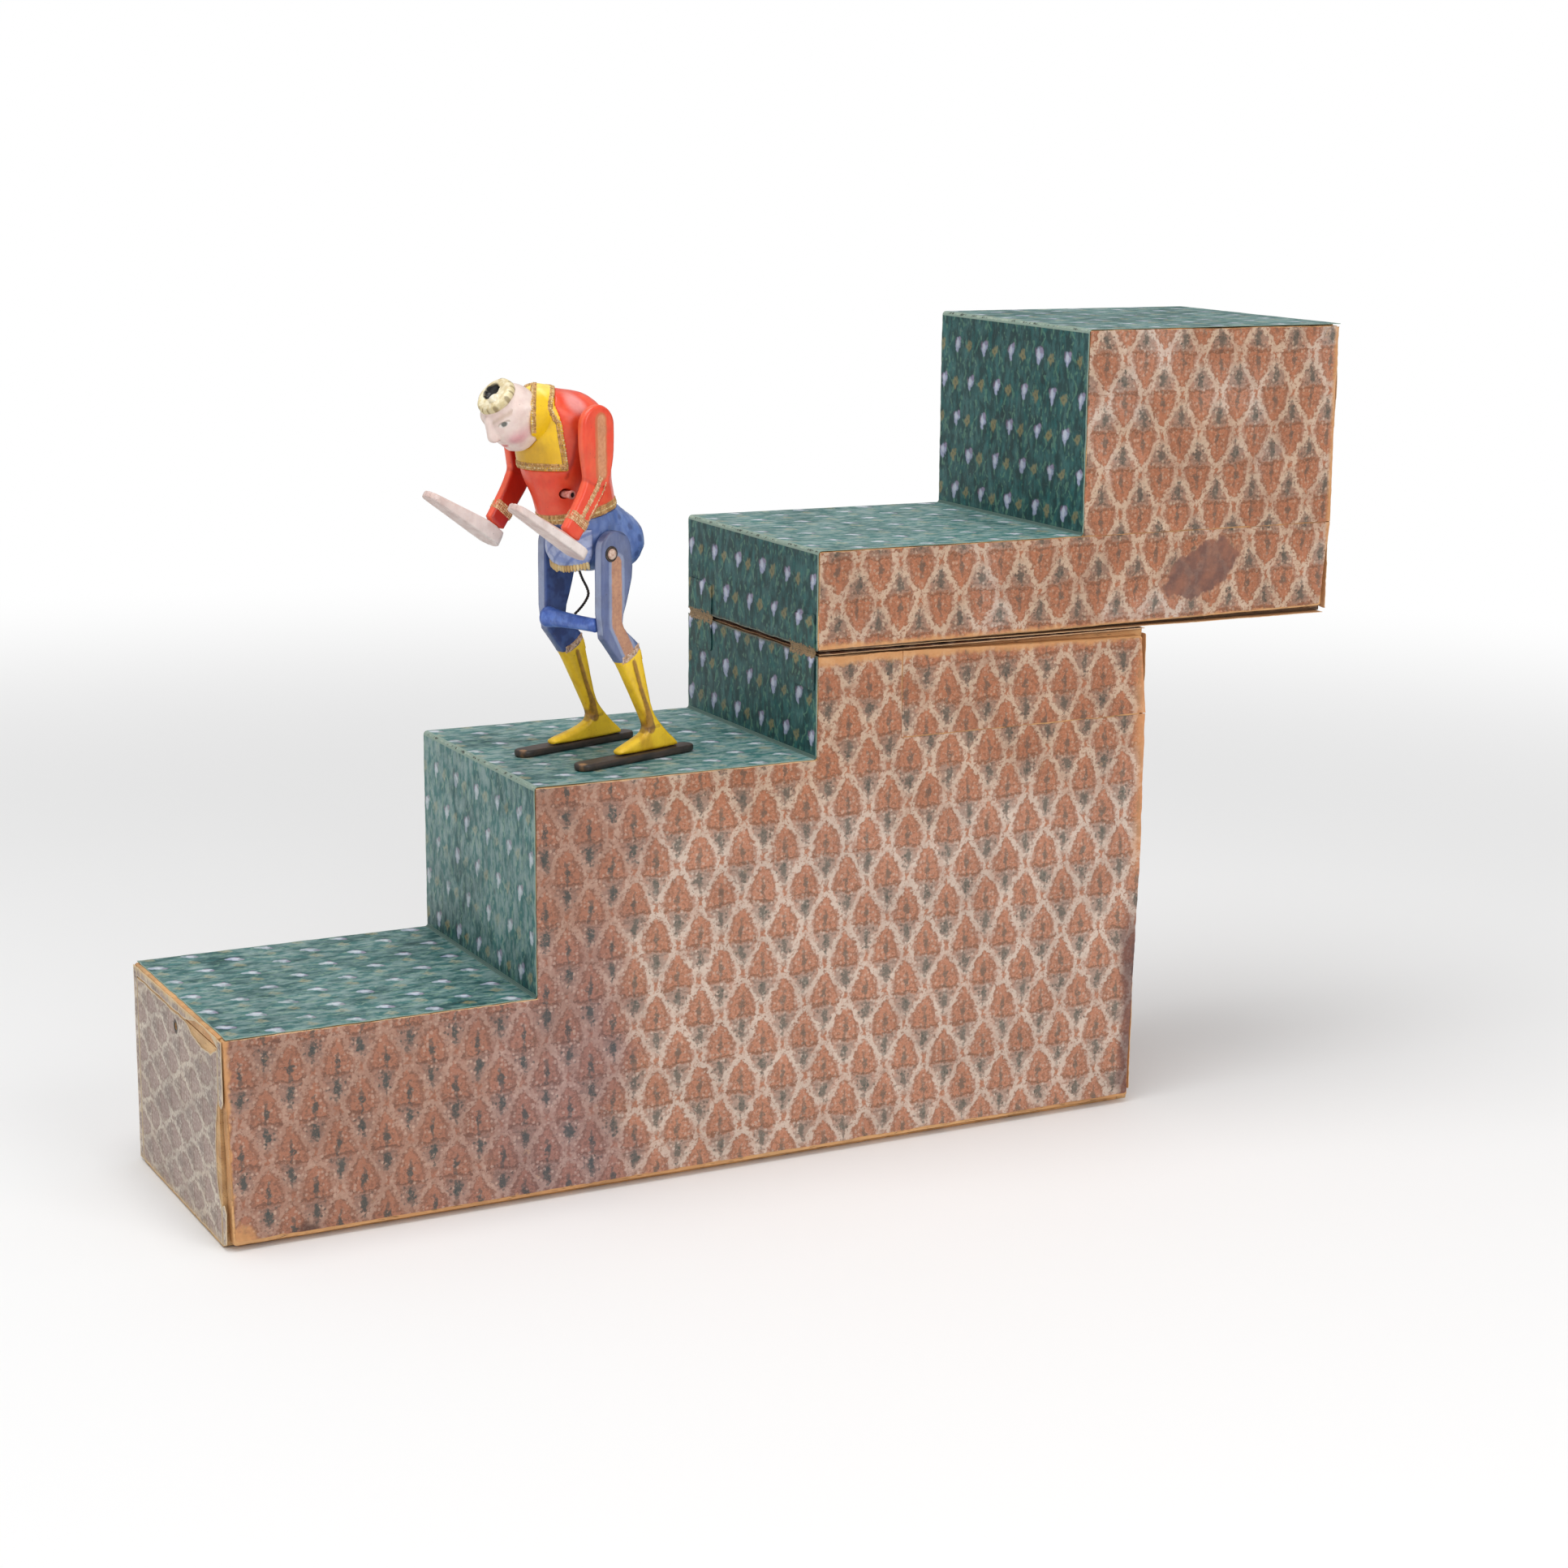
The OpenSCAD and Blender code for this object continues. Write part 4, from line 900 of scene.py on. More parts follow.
inside = (-caseSizes["inner"], caseSizes["inner"])
boardList = [  # name, body, x0, x1, y0, y1, z0, z1, grain, node
    ("floorBoard", "base", -142, 142.2, *inside, 0, 3.5, woodLong, "base_floor"),
    ("endBoard", "base", 142.2, 145.7, *inside, 0, 146.7, woodAcross, "base_end"),
    ("treadBoardOne", "base", -145.75, -52.2, *inside, 56.7, 59.7, woodLong, "tread_1"),
    ("riserBoardTwo", "base", -55.2, -52.2, *inside, 59.7, 116.7, woodAcross, "riser_2"),
    ("treadBoardTwo", "base", -55.2, 35.3, *inside, 116.7, 119.7, woodLong, "tread_2"),
    ("riserBoardThreeLow", "base", 32.3, 35.3, *inside, 119.7, 146.7, woodAcross, "riser_3_lower"),
    ("columnBoard", "base", 32.3, 145.7, *inside, 146.7, 149.7, woodLong, "column_top"),
    ("drawerFloor", "drawer", -142, 54, -35.7, 35.7, 3.8, 6.3, woodLong, "drawer_floor"),
    ("drawerBack", "drawer", 51.5, 54, -35.7, 35.7, 6.3, 50.1, woodAcross, "drawer_back"),
    ("upperFloorBoard", "upper", 32.3, 211.9, *inside, 151.1, 154.1, woodLong, "upper_floor"),
    ("riserBoardThreeHigh", "upper", 32.3, 35.3, *inside, 154.1, 176.7, woodAcross, "riser_3_upper"),
    ("treadBoardThree", "upper", 32.3, 123.9, *inside, 176.7, 179.7, woodLong, "tread_3"),
    ("riserBoardFour", "upper", 120.9, 123.9, *inside, 179.7, 237.1, woodAcross, "riser_4"),
    ("treadBoardFour", "upper", 120.9, 211.9, *inside, 237.1, 240.0, woodLong, "tread_4"),
    ("upperEndBoard", "upper", 208.4, 211.9, *inside, 154.1, 237.1, woodAcross, "upper_end"),
    ("drawerSideNear", "drawer", -142.5, 54, -38.2, -35.7, 3.8, 50.1, woodLong, "drawer_side_near"),
    ("drawerSideFar", "drawer", -142.5, 54, 35.7, 38.2, 3.8, 50.1, woodLong, "drawer_side_far"),
    ("guideNear", "base", -142, 54, -38.7, -34.7, 50.7, 56.7, woodLong, "drawer_guides"),
    ("guideFar", "base", -142, 54, 34.7, 38.7, 50.7, 56.7, woodLong, "drawer_guides"),
    ("drawerStop", "base", 54.5, 60.5, *inside, 3.5, 7.5, woodAcross, "drawer_guides")]
for name, body, *sizes, material, node in boardList:
    pose = leanBack if body == "upper" else level
    give(plainBoard(name, *sizes, material, pose), body, node)
print("boards are ready")


def hole(x, y, r, count=28):
    return [Vector((x + r * cos(2 * pi * k / count), y + r * sin(2 * pi * k / count))) for k in range(count)]


def drawerFront():
    loop = densified(rounded([(-38.2, 0.5), (38.2, 0.5), (38.2, 56.2), (-38.2, 56.2)],
        {0: 0.8, 1: 0.8, 2: 0.8, 3: 0.8}), 2.0)
    made = thickSheet("drawerBoard", [loop, hole(0, 52.1, 1.0)], lambda s, t, h: (-142.5 - h, -s, t), woodAcross,
        thick=3.2, step=6.0, rings=())
    return shadeByAngle(made, 40)


give(drawerFront(), "drawer", "drawer_front")


def paperLoop(outline, amount, seed, radii=None, step=1.1):
    return frayed(densified(rounded(outline, radii or {}), step), amount, seed)


def boardPlace(pose, kind):  # how a sheet's place on paper, s and t, and its height h become a place on the box
    return {"near": lambda s, t, h: pose(s, -42.2 - h, t), "far": lambda s, t, h: pose(s, 42.2 + h, t),
            "baseEnd": lambda s, t, h: (145.7 + h, s, t), "top": lambda s, t, h: (s, t, 149.7 + h),
            "upperEnd": lambda s, t, h: pose(211.9 + h, s, t), "under": lambda s, t, h: pose(s, t, 151.1 - h)}[kind]


# name, body, node, outline, fraying, rounded corners, place, material, shift of the print, lift, rubbed lines
paperList = [
    ("basePaperNear", "base", "base_paper_near", [
        (-145.6, 0.65), (145.6, 0.65), (145.6, 86), (145.4, 92), (145.4, 123.75), (60.2, 123.75), (60.2, 149.4),
        (32.4, 149.4), (32.4, 119.65), (-55.15, 119.65), (-55.15, 59.65), (-145.6, 59.65)],
     0.28, {0: 3.0, 1: 3.4}, "near", paperBaseNear, (-56.2, -81.6), 0.12, [
        [(-55.2, 59.7), (-145.7, 59.7), (-145.7, 0.5), (145.7, 0.5), (145.7, 124)], [(-55.2, 119.7), (32.3, 119.7)],
        [(32.3, 149.6), (60, 149.6)]]),
    ("bandPaperNear", "base", None, [(60.2, 123.75), (145.5, 123.8), (145.5, 149.4), (60.2, 149.4)],
     0.2, {2: 3.2}, "near", paperBaseNear, (-54.9, -77.9), 0.0, [[(60, 149.6), (145.7, 149.6), (145.7, 124)]]),
    ("basePaperFar", "base", "base_paper_far", [
        (-144.6, 1.0), (145.2, 1.1), (145.2, 148.6), (32.7, 148.8), (32.7, 119.4), (-54.9, 119.4), (-54.9, 59.4),
        (-144.8, 59.4)],
     0.4, {0: 2.0, 1: 3.0, 2: 3.0}, "far", paperPlain, (-50.0, -80.0), 0.12, None),
    ("basePaperEnd", "base", "base_paper_end", [(-42.0, 0.8), (42.0, 0.8), (42.0, 149.2), (-42.0, 149.2)],
     0.4, {0: 3.2, 1: 3.2, 2: 2.0, 3: 2.0}, "baseEnd", paperPlain, (3.0, -70.0), 0.1, None),
    ("columnPaper", "base", "column_top_paper", [(33.0, -41.8), (145.2, -41.7), (145.2, 41.8), (33.0, 41.7)],
     0.6, {}, "top", paperPlain, (0, 0), 0.0, None),
    ("upperPaperNearLow", "upper", "upper_paper_near", [
        (32.4, 151.3), (211.7, 151.3), (211.7, 179.35), (121.0, 179.4), (32.4, 179.6)],
     0.25, {1: 3.4}, "near", paperUpperNear, (-92.8, -175.3), 0.0, [
        [(121, 179.8), (32.2, 179.8), (32.2, 151.1), (211.9, 151.1), (211.9, 179.4)]]),
    ("upperPaperNearHigh", "upper", None, [(120.95, 179.45), (211.7, 179.4), (211.7, 240.0), (120.95, 240.0)],
     0.25, {2: 1.5}, "near", paperUpperNear, (-154.3, -208.4), 0.0,
     [[(211.9, 179.4), (211.9, 240.2), (120.9, 240.2)]]),
    ("upperPaperFar", "upper", "upper_paper_far", [
        (32.7, 152.0), (211.2, 151.9), (211.4, 239.7), (121.3, 239.7), (121.3, 179.4), (32.7, 179.4)],
     0.4, {1: 3.0, 2: 1.5}, "far", paperUpperPlain, (-94.0, -170.0), 0.12, None),
    ("upperPaperEnd", "upper", "upper_paper_end", [(-41.8, 151.9), (41.8, 151.9), (41.8, 239.6), (-41.8, 239.6)],
     0.7, {}, "upperEnd", paperUpperPlain, (2.0, -160.0), 0.1, None),
    ("upperPaperUnder", "upper", "upper_paper_under", [(33.0, -41.8), (211.3, -41.8), (211.3, 41.8), (33.0, 41.8)],
     0.6, {}, "under", paperUpperPlain, (0, 0), 0.0, None)]
for seed, (name, body, node, outline, fraying, radii, kind, material, shift, lift, rubbed) in enumerate(paperList,
        11):
    place = boardPlace(leanBack if body == "upper" else level, kind)
    sheet = thickSheet(name, [paperLoop(outline, fraying, float(seed), radii)], place, material, shift=shift,
        lift=lift, seed=seed, rubbed=rubbed)
    give(sheet, body, node)

# drawer front paper, torn at the top near corner; the print is turned a quarter
drawerSheet = [(-38.3, 0.8), (38.3, 0.8), (38.3, 56.35), (8.0, 56.35), (-10.5, 56.3), (-15.0, 54.4), (-24.0, 53.2),
    (-32.0, 53.6), (-35.5, 55.2), (-38.3, 56.35), (-38.3, 42.0), (-37.2, 39.5), (-35.6, 35.0), (-34.7, 28.0),
    (-34.9, 19.5), (-36.4, 14.5), (-38.3, 12.0)]


def onDrawer(s, t, h):
    return -145.7 - h, -s, t


drawerPiece = thickSheet("drawerPaper", [paperLoop([(-y, z) for y, z in drawerSheet][::-1], 0.5, 21.0),
    hole(0, 52.1, 1.15)], onDrawer, drawerPaper, lift=0.12, seed=21)
give(drawerPiece, "drawer", "drawer_paper")
stripList = [("stripNearHigh", [(38.5, 41.0), (40.4, 40.2), (41.9, 42.0), (41.9, 59.2), (38.5, 59.2)], {}),
    ("stripNearLow", [(38.5, 0.8), (41.9, 1.2), (41.9, 11.0), (40.2, 13.0), (38.5, 12.2)], {1: 1.5}),
    ("stripFar", [(-41.9, 0.8), (-38.5, 0.8), (-38.5, 59.2), (-41.9, 59.2)], {}),
    ("stripTop", [(-38.4, 56.55), (9.0, 56.55), (13.0, 57.4), (18.0, 58.7), (26.0, 59.1), (33.0, 58.6), (36.5, 57.4),
    (38.4, 56.7), (38.4, 59.4), (-38.4, 59.4)], {})]
stripPieces = [drawerPiece]
for number, (name, outline, radii) in enumerate(stripList):
    strip = thickSheet(name, [paperLoop(outline, 0.22, 24.0 + number, radii, 0.8)], onDrawer, drawerPaper, step=2.0,
        rings=(0.35,), seed=24 + number)
    stripPieces.append(give(strip, "base"))
for piece in stripPieces:
    remapPrint(piece, lambda u, v: (v + 4.0, u + 6.0))


# (distance, x, z, normal x, normal z) along a stepped line whose corners are rounded
def foldedLine(corners, radius):
    nodes = []
    run = 0.0
    last = None
    count = len(corners)
    for i, corner in enumerate(corners):
        c = Vector(corner)
        if i in (0, count - 1):
            bits = [(c, None)]
        else:
            before = (Vector(corners[i - 1]) - c).normalized()
            after = (Vector(corners[i + 1]) - c).normalized()
            middle = c + (before + after) * radius
            start, end = c + before * radius - middle, c + after * radius - middle
            turn = before.x * after.y - before.y * after.x
            bits = [(middle + start.slerp(end, k / 4, start), start.slerp(end, k / 4, start).normalized()
                * (-1 if turn < 0 else 1)) for k in range(5)]
        for p, normal in bits:
            run += (p - last).length if last is not None else 0.0
            last = p
            nodes.append([run, p.x, p.y, normal])
    for i, item in enumerate(nodes):
        if item[3] is None:
            other = nodes[1] if i == 0 else nodes[-2]
            along = Vector((other[1] - item[1], other[2] - item[2])).normalized() * (1 if i == 0 else -1)
            item[3] = Vector((-along[1], along[0]))
    return nodes


def greenSheet(name, corners, start, node, body, pose, seed, firstEdge):
    nodes = foldedLine(corners, 0.9)
    runs = np.array([n[0] for n in nodes])
    table = np.array([[n[1], n[2], n[3][0], n[3][1]] for n in nodes])
    total = runs[-1]

    def place(s, t, h):
        x, z, nx, nz = (np.interp(s, runs, table[:, k]) for k in range(4))
        size = hypot(nx, nz) or 1.0
        return pose(x + nx / size * h, -t, z + nz / size * h)

    def steepness(s):
        k = max(0, min(len(nodes) - 2, int(np.searchsorted(runs, s)) - 1))
        return abs(nodes[k + 1][2] - nodes[k][2]) / max(1e-6,
            hypot(nodes[k + 1][1] - nodes[k][1], nodes[k + 1][2] - nodes[k][2]))

    # outer corners +1, inner -1
    bends = [(runs[i], 1 if (k + (pose is leanBack)) % 2 else -1) for k, i in enumerate(range(3, len(nodes) - 1, 5))]

    def crest(p, e):
        return sum(sign * max(0.0, 1.0 - abs(p[0] - c) / 1.3) for c, sign in bends)

    # how pale a place is: partly bleaching and partly painted light on the treads
    def fade(p, e):
        top = 1.0 - steepness(p[0])
        world = place(p[0], p[1], 0)
        return float(np.clip(0.1 + fadeAndLightRule(world, top), 0, 1))

    outline = [(firstEdge, -42.35), (total - 0.2, -42.35), (total - 0.2, 42.35), (firstEdge, 42.35)]
    made = thickSheet(name, [paperLoop(outline, 0.3, seed, step=1.0)], place, greenPaper, step=3.2,
        breaks=[r for r in runs[1:-1]], shift=(start, 0), extra=dict(fade=fade, crest=crest), lift=0.1,
        seed=int(seed))
    remapPrint(made, lambda u, v: (v, u))
    return give(made, body, node)


def fadeAndLightRule(world, top):  # treads are paler, partly bleached and dusty and partly painted light from above, the highest one most; the second rise only above its foot
    x, _, z = world
    if top > 0.5:
        return 1.0 if 70 < z < 200 and x < 121 else 0.57 if z < 70 else 0.6
    if z < 119:
        return min(1.0, max(0.0, (z - 60) / 19))
    return 0.0


lowLine = [(-145.6, 59.7), (-55.2, 59.7), (-55.2, 119.7), (32.3, 119.7), (32.3, 150)]
greenSheet("stairPaperLow", lowLine, -30.1, "stair_paper_lower", "base", level, 31.0, 0.9)
highLine = [(32.3, 150.8), (32.3, 179.7), (120.9, 179.7), (120.9, 240.0), (212.0, 240.0)]
greenSheet("stairPaperHigh", highLine, 238.3, "stair_paper_upper", "upper", leanBack, 32.0, 0.3)
print("papers are ready")


# linen hinge over the seam of the third rise
hingeSetup = dict(inner=24.5, outer=41.2, low=139.2, high=161.6, seam=150.4, fray=0.45)


def hingePiece(side, seed):
    inner, outer, low, high, seam, fray = hingeSetup.values()

    def place(s, t, h):  # s across the stairs, t upwards; the cloth sinks a little into the seam
        x, z = 32.0 - h - 0.02, t
        x += 0.55 * exp(-((t - seam) / 0.9) ** 2)
        if t > seam:
            share = min(1.0, (t - seam) / 0.6)
            moved = leanBack(x, 0, z)
            x, z = x + (moved[0] - x) * share, z + (moved[2] - z) * share
        return x, side * s, z

    corners = rounded([(inner, low), (outer, low), (outer, high), (inner, high)], {0: 2, 1: 1, 2: 1, 3: 2})
    loop = frayed(densified(corners, 0.7), fray, float(seed), 4.0, 1.1)

    def paint(p, e):
        return float(np.clip((abs(p[1] - seam) - 0.4) / 2.4, 0, 1))

    name = "Near" if side < 0 else "Far"
    made = thickSheet("hingeLinen" + name, [loop], place, linen, thick=0.26, step=1.1, rings=(0.4,),
        extra=dict(paint=paint), seed=seed)
    remapPrint(made, lambda u, v: (-side * u, v + 87.5))
    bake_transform(made)
    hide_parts("leaf_lower_" + name.lower(), "leaf_upper_" + name.lower())


hingePiece(-1, 41)
hingePiece(1, 42)
print("hinge is ready")


# the acrobat, worked out in its own axes: back, across, up
figureSetup = dict(origin=(-19.8, -9.8, 120.05), turn=18.2, hip=(-9.6, 60.3))
figureTones = dict(blue=(100, 112, 150), paleBlue=(146, 158, 190), navy=(34, 58, 122), boot=(244, 198, 34),
    bootShade=(214, 162, 20), streak=(110, 72, 26), stripe=(196, 142, 104), red=(232, 62, 28), deepRed=(176, 28, 12),
    yoke=(248, 198, 4), yokeShade=(206, 156, 8), flesh=(236, 214, 206), cheek=(208, 116, 136), gold=(178, 136, 76),
    brown=(146, 106, 66), soot=(40, 34, 32))


figureTurn = radians(figureSetup["turn"])
turnTable = np.array([[cos(figureTurn), -sin(figureTurn), 0], [sin(figureTurn), cos(figureTurn), 0],
    [0, 0, 1]])


def stand(b, lat, up):
    return tuple(turnTable @ (b, lat, up) + figureSetup["origin"])


def pointValues(made, kind):
    values = np.zeros(len(made.data.vertices) * 3)
    made.data.vertices.foreach_get(kind, values)
    return values.reshape(-1, 3)


def ownPoints(made):  # a mesh's points in the acrobat's own axes
    return (pointValues(made, "co") / mm - figureSetup["origin"]) @ turnTable


def ownNormals(made):
    return pointValues(made, "normal") @ turnTable


def setPoints(made, own):
    co = (own @ turnTable.T + figureSetup["origin"]) * mm
    made.data.vertices.foreach_set("co", co.astype(np.float32).ravel())
    made.data.update()


# each rule gives, for every point, its distance in mm outside a painted field (inside is negative)
def mark(made, **rules):
    own = ownPoints(made)
    for name, rule in rules.items():
        made.data.attributes.new(name, "FLOAT", "POINT").data.foreach_set("value", np.asarray(rule(own), np.float32))
    return made


def outsideOf(part):  # added to a field, it keeps the field to that part of the piece
    return np.where(part, 0.0, 9.0)


def swell(made, amounts):  # moves each point of the skin outwards
    setPoints(made, ownPoints(made) + ownNormals(made) * amounts[:, None])


def fieldDistance(flat, loop):
    loop = [Vector(p) for p in loop]
    return np.where(insideOf(flat, loop), -1, 1) * distanceTo(flat, loop)


def fromLine(own, line):  # both seen from the acrobat's side
    return lineDistance(own[:, [0, 2]], line)


def fromField(own, loop):
    return fieldDistance(own[:, [0, 2]], loop)


def softened(loop, times):  # corners of a closed outline cut back again and again
    loop = [Vector(p) for p in loop]
    for _ in range(times):
        loop = [q for i in range(len(loop)) for q in (loop[i].lerp(loop[(i + 1) % len(loop)], 0.25),
            loop[i].lerp(loop[(i + 1) % len(loop)], 0.75))]
    return loop


def makeBrushPaint():  # old enamel: brush marks, yellowed hollows, small chips down to the wood
    tree, take, end = newGroup("brush paint", ("Color", "Height", "Chipped"), Place="Vector", Paint="Color",
        Chips=0.3, Age=0.4, Under="Color")
    place = take.place
    strokes = cloud(stretched(place, 1.0, 1.0, 0.22), 0.8, 3.0, 0.6)
    blotch = cloud(place, 5.0, 3.0, 0.6)
    fine = cloud(place, 0.55, 3.0, 0.7)
    chipped = ramp(cloud(place, 2.1, 4.0, 0.75) + (fine - 0.5) * 0.3, 0.735, 0.755) * take.chips
    speck = ramp(cells(place, 2.2), 0.11, 0.06)
    colour = mixColour(ramp(strokes, 0.3, 0.7) * 0.2, take.paint, tone(255, 240, 215), "SOFT_LIGHT")
    colour = colour.under(
        (ramp(blotch, 0.4, 0.75) * take.age * 0.7, tone(150, 112, 78), "MULTIPLY"),
        (ramp(fine, 0.55, 0.75) * take.age * 0.3, tone(80, 56, 42)),
        (speck * take.age, tone(52, 40, 34)),
        (chipped, take.under))
    return closeGroup(tree, end, Color=colour, Height=strokes * 0.5 + fine * 0.3 - chipped * 1.2, Chipped=chipped)


groups["paint"] = makeBrushPaint()


def hue(shade):  # a name from the acrobat's tones, or red, green and blue
    return tone(*(figureTones[shade] if isinstance(shade, str) else shade))


def onFigure(tree):
    return placeIn(tree, figureSetup["origin"], figureSetup["turn"])


def paintMaterial(name, layers, base, chips=0.5, age=0.4, gloss=0.34, coat=0.25, under=(196, 160, 112)):
    # layers: (field, colour, strength, softness) painted in turn over the base colour; a field is an attribute of
    # distances
    made, tree, shader = newMaterial(name)
    place = onFigure(tree)
    wobble = (cloud(place, 1.6, 3.0, 0.6) - 0.5) * 0.5
    colour = base(place)
    for field, shade, strength, softness in layers:
        inField = ramp(attribute(tree, field) + wobble, softness, -softness)
        fill = shade(place) if callable(shade) else hue(shade)
        colour = mixColour(inField * strength, colour, fill)
    painted = useGroup("paint", Place=place, Paint=colour, Chips=chips, Age=age, Under=tone(*under))
    rough = (gloss + cloud(place, 3.0, 3.0) * 0.2 + painted.chipped * 0.3).clip()
    finishMaterial(tree, shader, painted.color, rough, painted.height, 0.05, Coat_Weight=coat, Coat_Roughness=0.22)
    return made


def speckled(first, second, size, low=0.4, high=0.6, stretch=(1, 1, 1)):
    return lambda place: mixColour(ramp(cloud(stretched(place, *stretch), size, 2.0, 0.6), low, high), hue(first),
        hue(second))


def makeSolid(name, own, faces, material):
    return makeObject(name, [stand(*p) for p in own], faces, material)


def carvedBoard(name, loop, middle, half, material, roundness=0.8, step=0.9, density=0.6, place=None, relief=None,
        seed=3):
    # a flat outline with rounded edges; place(s, t, h) puts it in the acrobat's axes, h counted from the board's
    # middle
    place = place or (lambda s, t, h: (s, middle + h, t))
    loop = densified([Vector(p) for p in loop], density)
    reach = roundness if callable(roundness) else (lambda p: roundness)
    flat, faces, edge = triangulated([loop], step, rings=(0.14, 0.4, 0.85), jitter=0.15, seed=seed)
    rise = []
    for p, e in zip(flat, edge):
        r = max(0.05, min(reach(p), half))
        drop = r * (1 - sqrt(max(0.0, 1 - (1 - min(1.0, e / r)) ** 2)))
        rise.append(half - drop)
    extra = np.array([relief(p, e) if relief else 0.0 for p, e in zip(flat, edge)])
    own = [place(p[0], p[1], side * (r + x)) for side in (1, -1) for p, r, x in zip(flat, rise, extra)]
    return makeSolid(name, own, shellOf(faces, len(flat)), material)


def carved(name, nodes, voxel, rounds, material):  # a turned and whittled form: the CAD solids as one smooth skin
    whole = bmesh.new()
    for n in nodes:
        whole.from_mesh(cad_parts[n].data)
    bmesh.ops.remove_doubles(whole, verts=whole.verts, dist=1e-6)
    data = bpy.data.meshes.new(name)
    whole.to_mesh(data)
    whole.free()
    data.materials.clear()
    data.materials.append(material)
    made = linked(name, data)
    skin = made.modifiers.new("skin", "REMESH")
    skin.mode = "VOXEL"
    skin.voxel_size = voxel * mm
    skin.use_smooth_shade = True
    ease = made.modifiers.new("ease", "SMOOTH")
    ease.factor = 0.5
    ease.iterations = rounds
    bake(made)
    made.data.materials.clear()
    made.data.materials.append(material)
    made.data.polygons.foreach_set("use_smooth", [True] * len(made.data.polygons))
    return made


# profile: (distance along the axis, radius) in the acrobat's axes
def lathed(name, profile, origin, axis, material, sides=32):
    axis = Vector(axis).normalized()
    side = axis.orthogonal().normalized()
    other = axis.cross(side)
    points = []
    for d, r in profile:
        for k in range(sides):
            a = 2 * pi * k / sides
            points.append(Vector(origin) + axis * d + (side * cos(a) + other * sin(a)) * max(r, 1e-4))
    return makeSolid(name, points, tubeFaces(len(profile), sides), material)


def makeBeadTree():  # a run of small beads along a line; each bead lies along it and faces outwards
    tree = bpy.data.node_groups.new("bead run", "GeometryNodeTree")
    tree.interface.new_socket("Line", in_out="INPUT", socket_type="NodeSocketGeometry")
    for label, value in (("Spacing", 0.001), ("Length", 0.001), ("Width", 0.001), ("Thickness", 0.001),
            ("Unevenness", 0.15)):
        tree.interface.new_socket(label, in_out="INPUT", socket_type="NodeSocketFloat").default_value = value
    tree.interface.new_socket("Finish", in_out="INPUT", socket_type="NodeSocketMaterial")
    tree.interface.new_socket("Beads", in_out="OUTPUT", socket_type="NodeSocketGeometry")
    start = tree.nodes.new("NodeGroupInput")
    end = tree.nodes.new("NodeGroupOutput")

    def node(kind, given=None, **settings):
        return addNode(tree, kind if "Node" in kind else "GeometryNode" + kind, given, **settings)

    curve = node("MeshToCurve")
    even = node("ResampleCurve", mode="LENGTH")
    out = node("InputNamedAttribute", {"Name": "facing"}, data_type="FLOAT_VECTOR")
    along = node("InputTangent")
    turn = node("FunctionNodeAxesToRotation", primary_axis="Z", secondary_axis="X")
    bead = node("MeshIcoSphere", {"Radius": 0.5, "Subdivisions": 2})
    size = node("ShaderNodeCombineXYZ")
    uneven = node("FunctionNodeRandomValue", {"Seed": 5}, data_type="FLOAT")
    low = node("ShaderNodeMath", {0: 1.0}, operation="SUBTRACT")
    high = node("ShaderNodeMath", {0: 1.0}, operation="ADD")
    scaled = node("ShaderNodeVectorMath", operation="SCALE")
    place = node("InstanceOnPoints")
    shade = node("FunctionNodeRandomValue", {"Seed": 9}, data_type="FLOAT")
    store = node("StoreNamedAttribute", {"Name": "tint"}, data_type="FLOAT", domain="INSTANCE")
    real = node("RealizeInstances")
    smooth = node("SetShadeSmooth")
    finish = node("SetMaterial")
    for source, output, target, label in (
            (start, "Line", curve, "Mesh"), (curve, "Curve", even, "Curve"), (start, "Spacing", even, "Length"),
            (out, "Attribute", turn, "Primary Axis"), (along, "Tangent", turn, "Secondary Axis"),
            (start, "Unevenness", low, 1), (start, "Unevenness", high, 1), (low, 0, uneven, 2), (high, 0, uneven, 3),
            (start, "Length", size, "X"), (start, "Width", size, "Y"), (start, "Thickness", size, "Z"),
            (size, 0, scaled, 0), (uneven, 1, scaled, "Scale"), (even, "Curve", place, "Points"),
            (bead, "Mesh", place, "Instance"), (turn, "Rotation", place, "Rotation"), (scaled, 0, place, "Scale"),
            (place, "Instances", store, "Geometry"), (shade, 1, store, "Value"),
            (store, "Geometry", real, "Geometry"),
            (real, "Geometry", smooth, "Geometry"), (smooth, 0, finish, "Geometry"),
            (start, "Finish", finish, "Material"),
            (finish, "Geometry", end, "Beads")):
        tree.links.new(source.outputs[output], target.inputs[label])
    return tree


beadTree = makeBeadTree()


def beadRun(name, runs, body, material, spacing, length, width, thickness, unevenness):
    # runs: lists of (point, outward direction) in the acrobat's axes
    points, edges, facing = [], [], []
    for run in runs:
        first = len(points)
        for p, n in run:
            points.append([c * mm for c in stand(*p)])
            tip = Vector(stand(*(Vector(p) + Vector(n)))) - Vector(stand(*p))
            facing.append(tip.normalized())
        edges += [(i, i + 1) for i in range(first, len(points) - 1)]
    data = bpy.data.meshes.new(name)
    data.from_pydata(points, edges, [])
    data.attributes.new("facing", "FLOAT_VECTOR", "POINT").data.foreach_set("vector", [c for f in facing for c in f])
    made = linked(name, data)
    run = made.modifiers.new("beads", "NODES")
    run.node_group = beadTree
    given = {"Spacing": spacing * mm, "Length": length * mm, "Width": width * mm, "Thickness": thickness * mm,
             "Unevenness": unevenness, "Finish": material}
    for item in beadTree.interface.items_tree:
        if item.item_type == "SOCKET" and item.in_out == "INPUT" and item.name in given:
            run[item.identifier] = given[item.name]
    bake(made)
    return give(made, body)


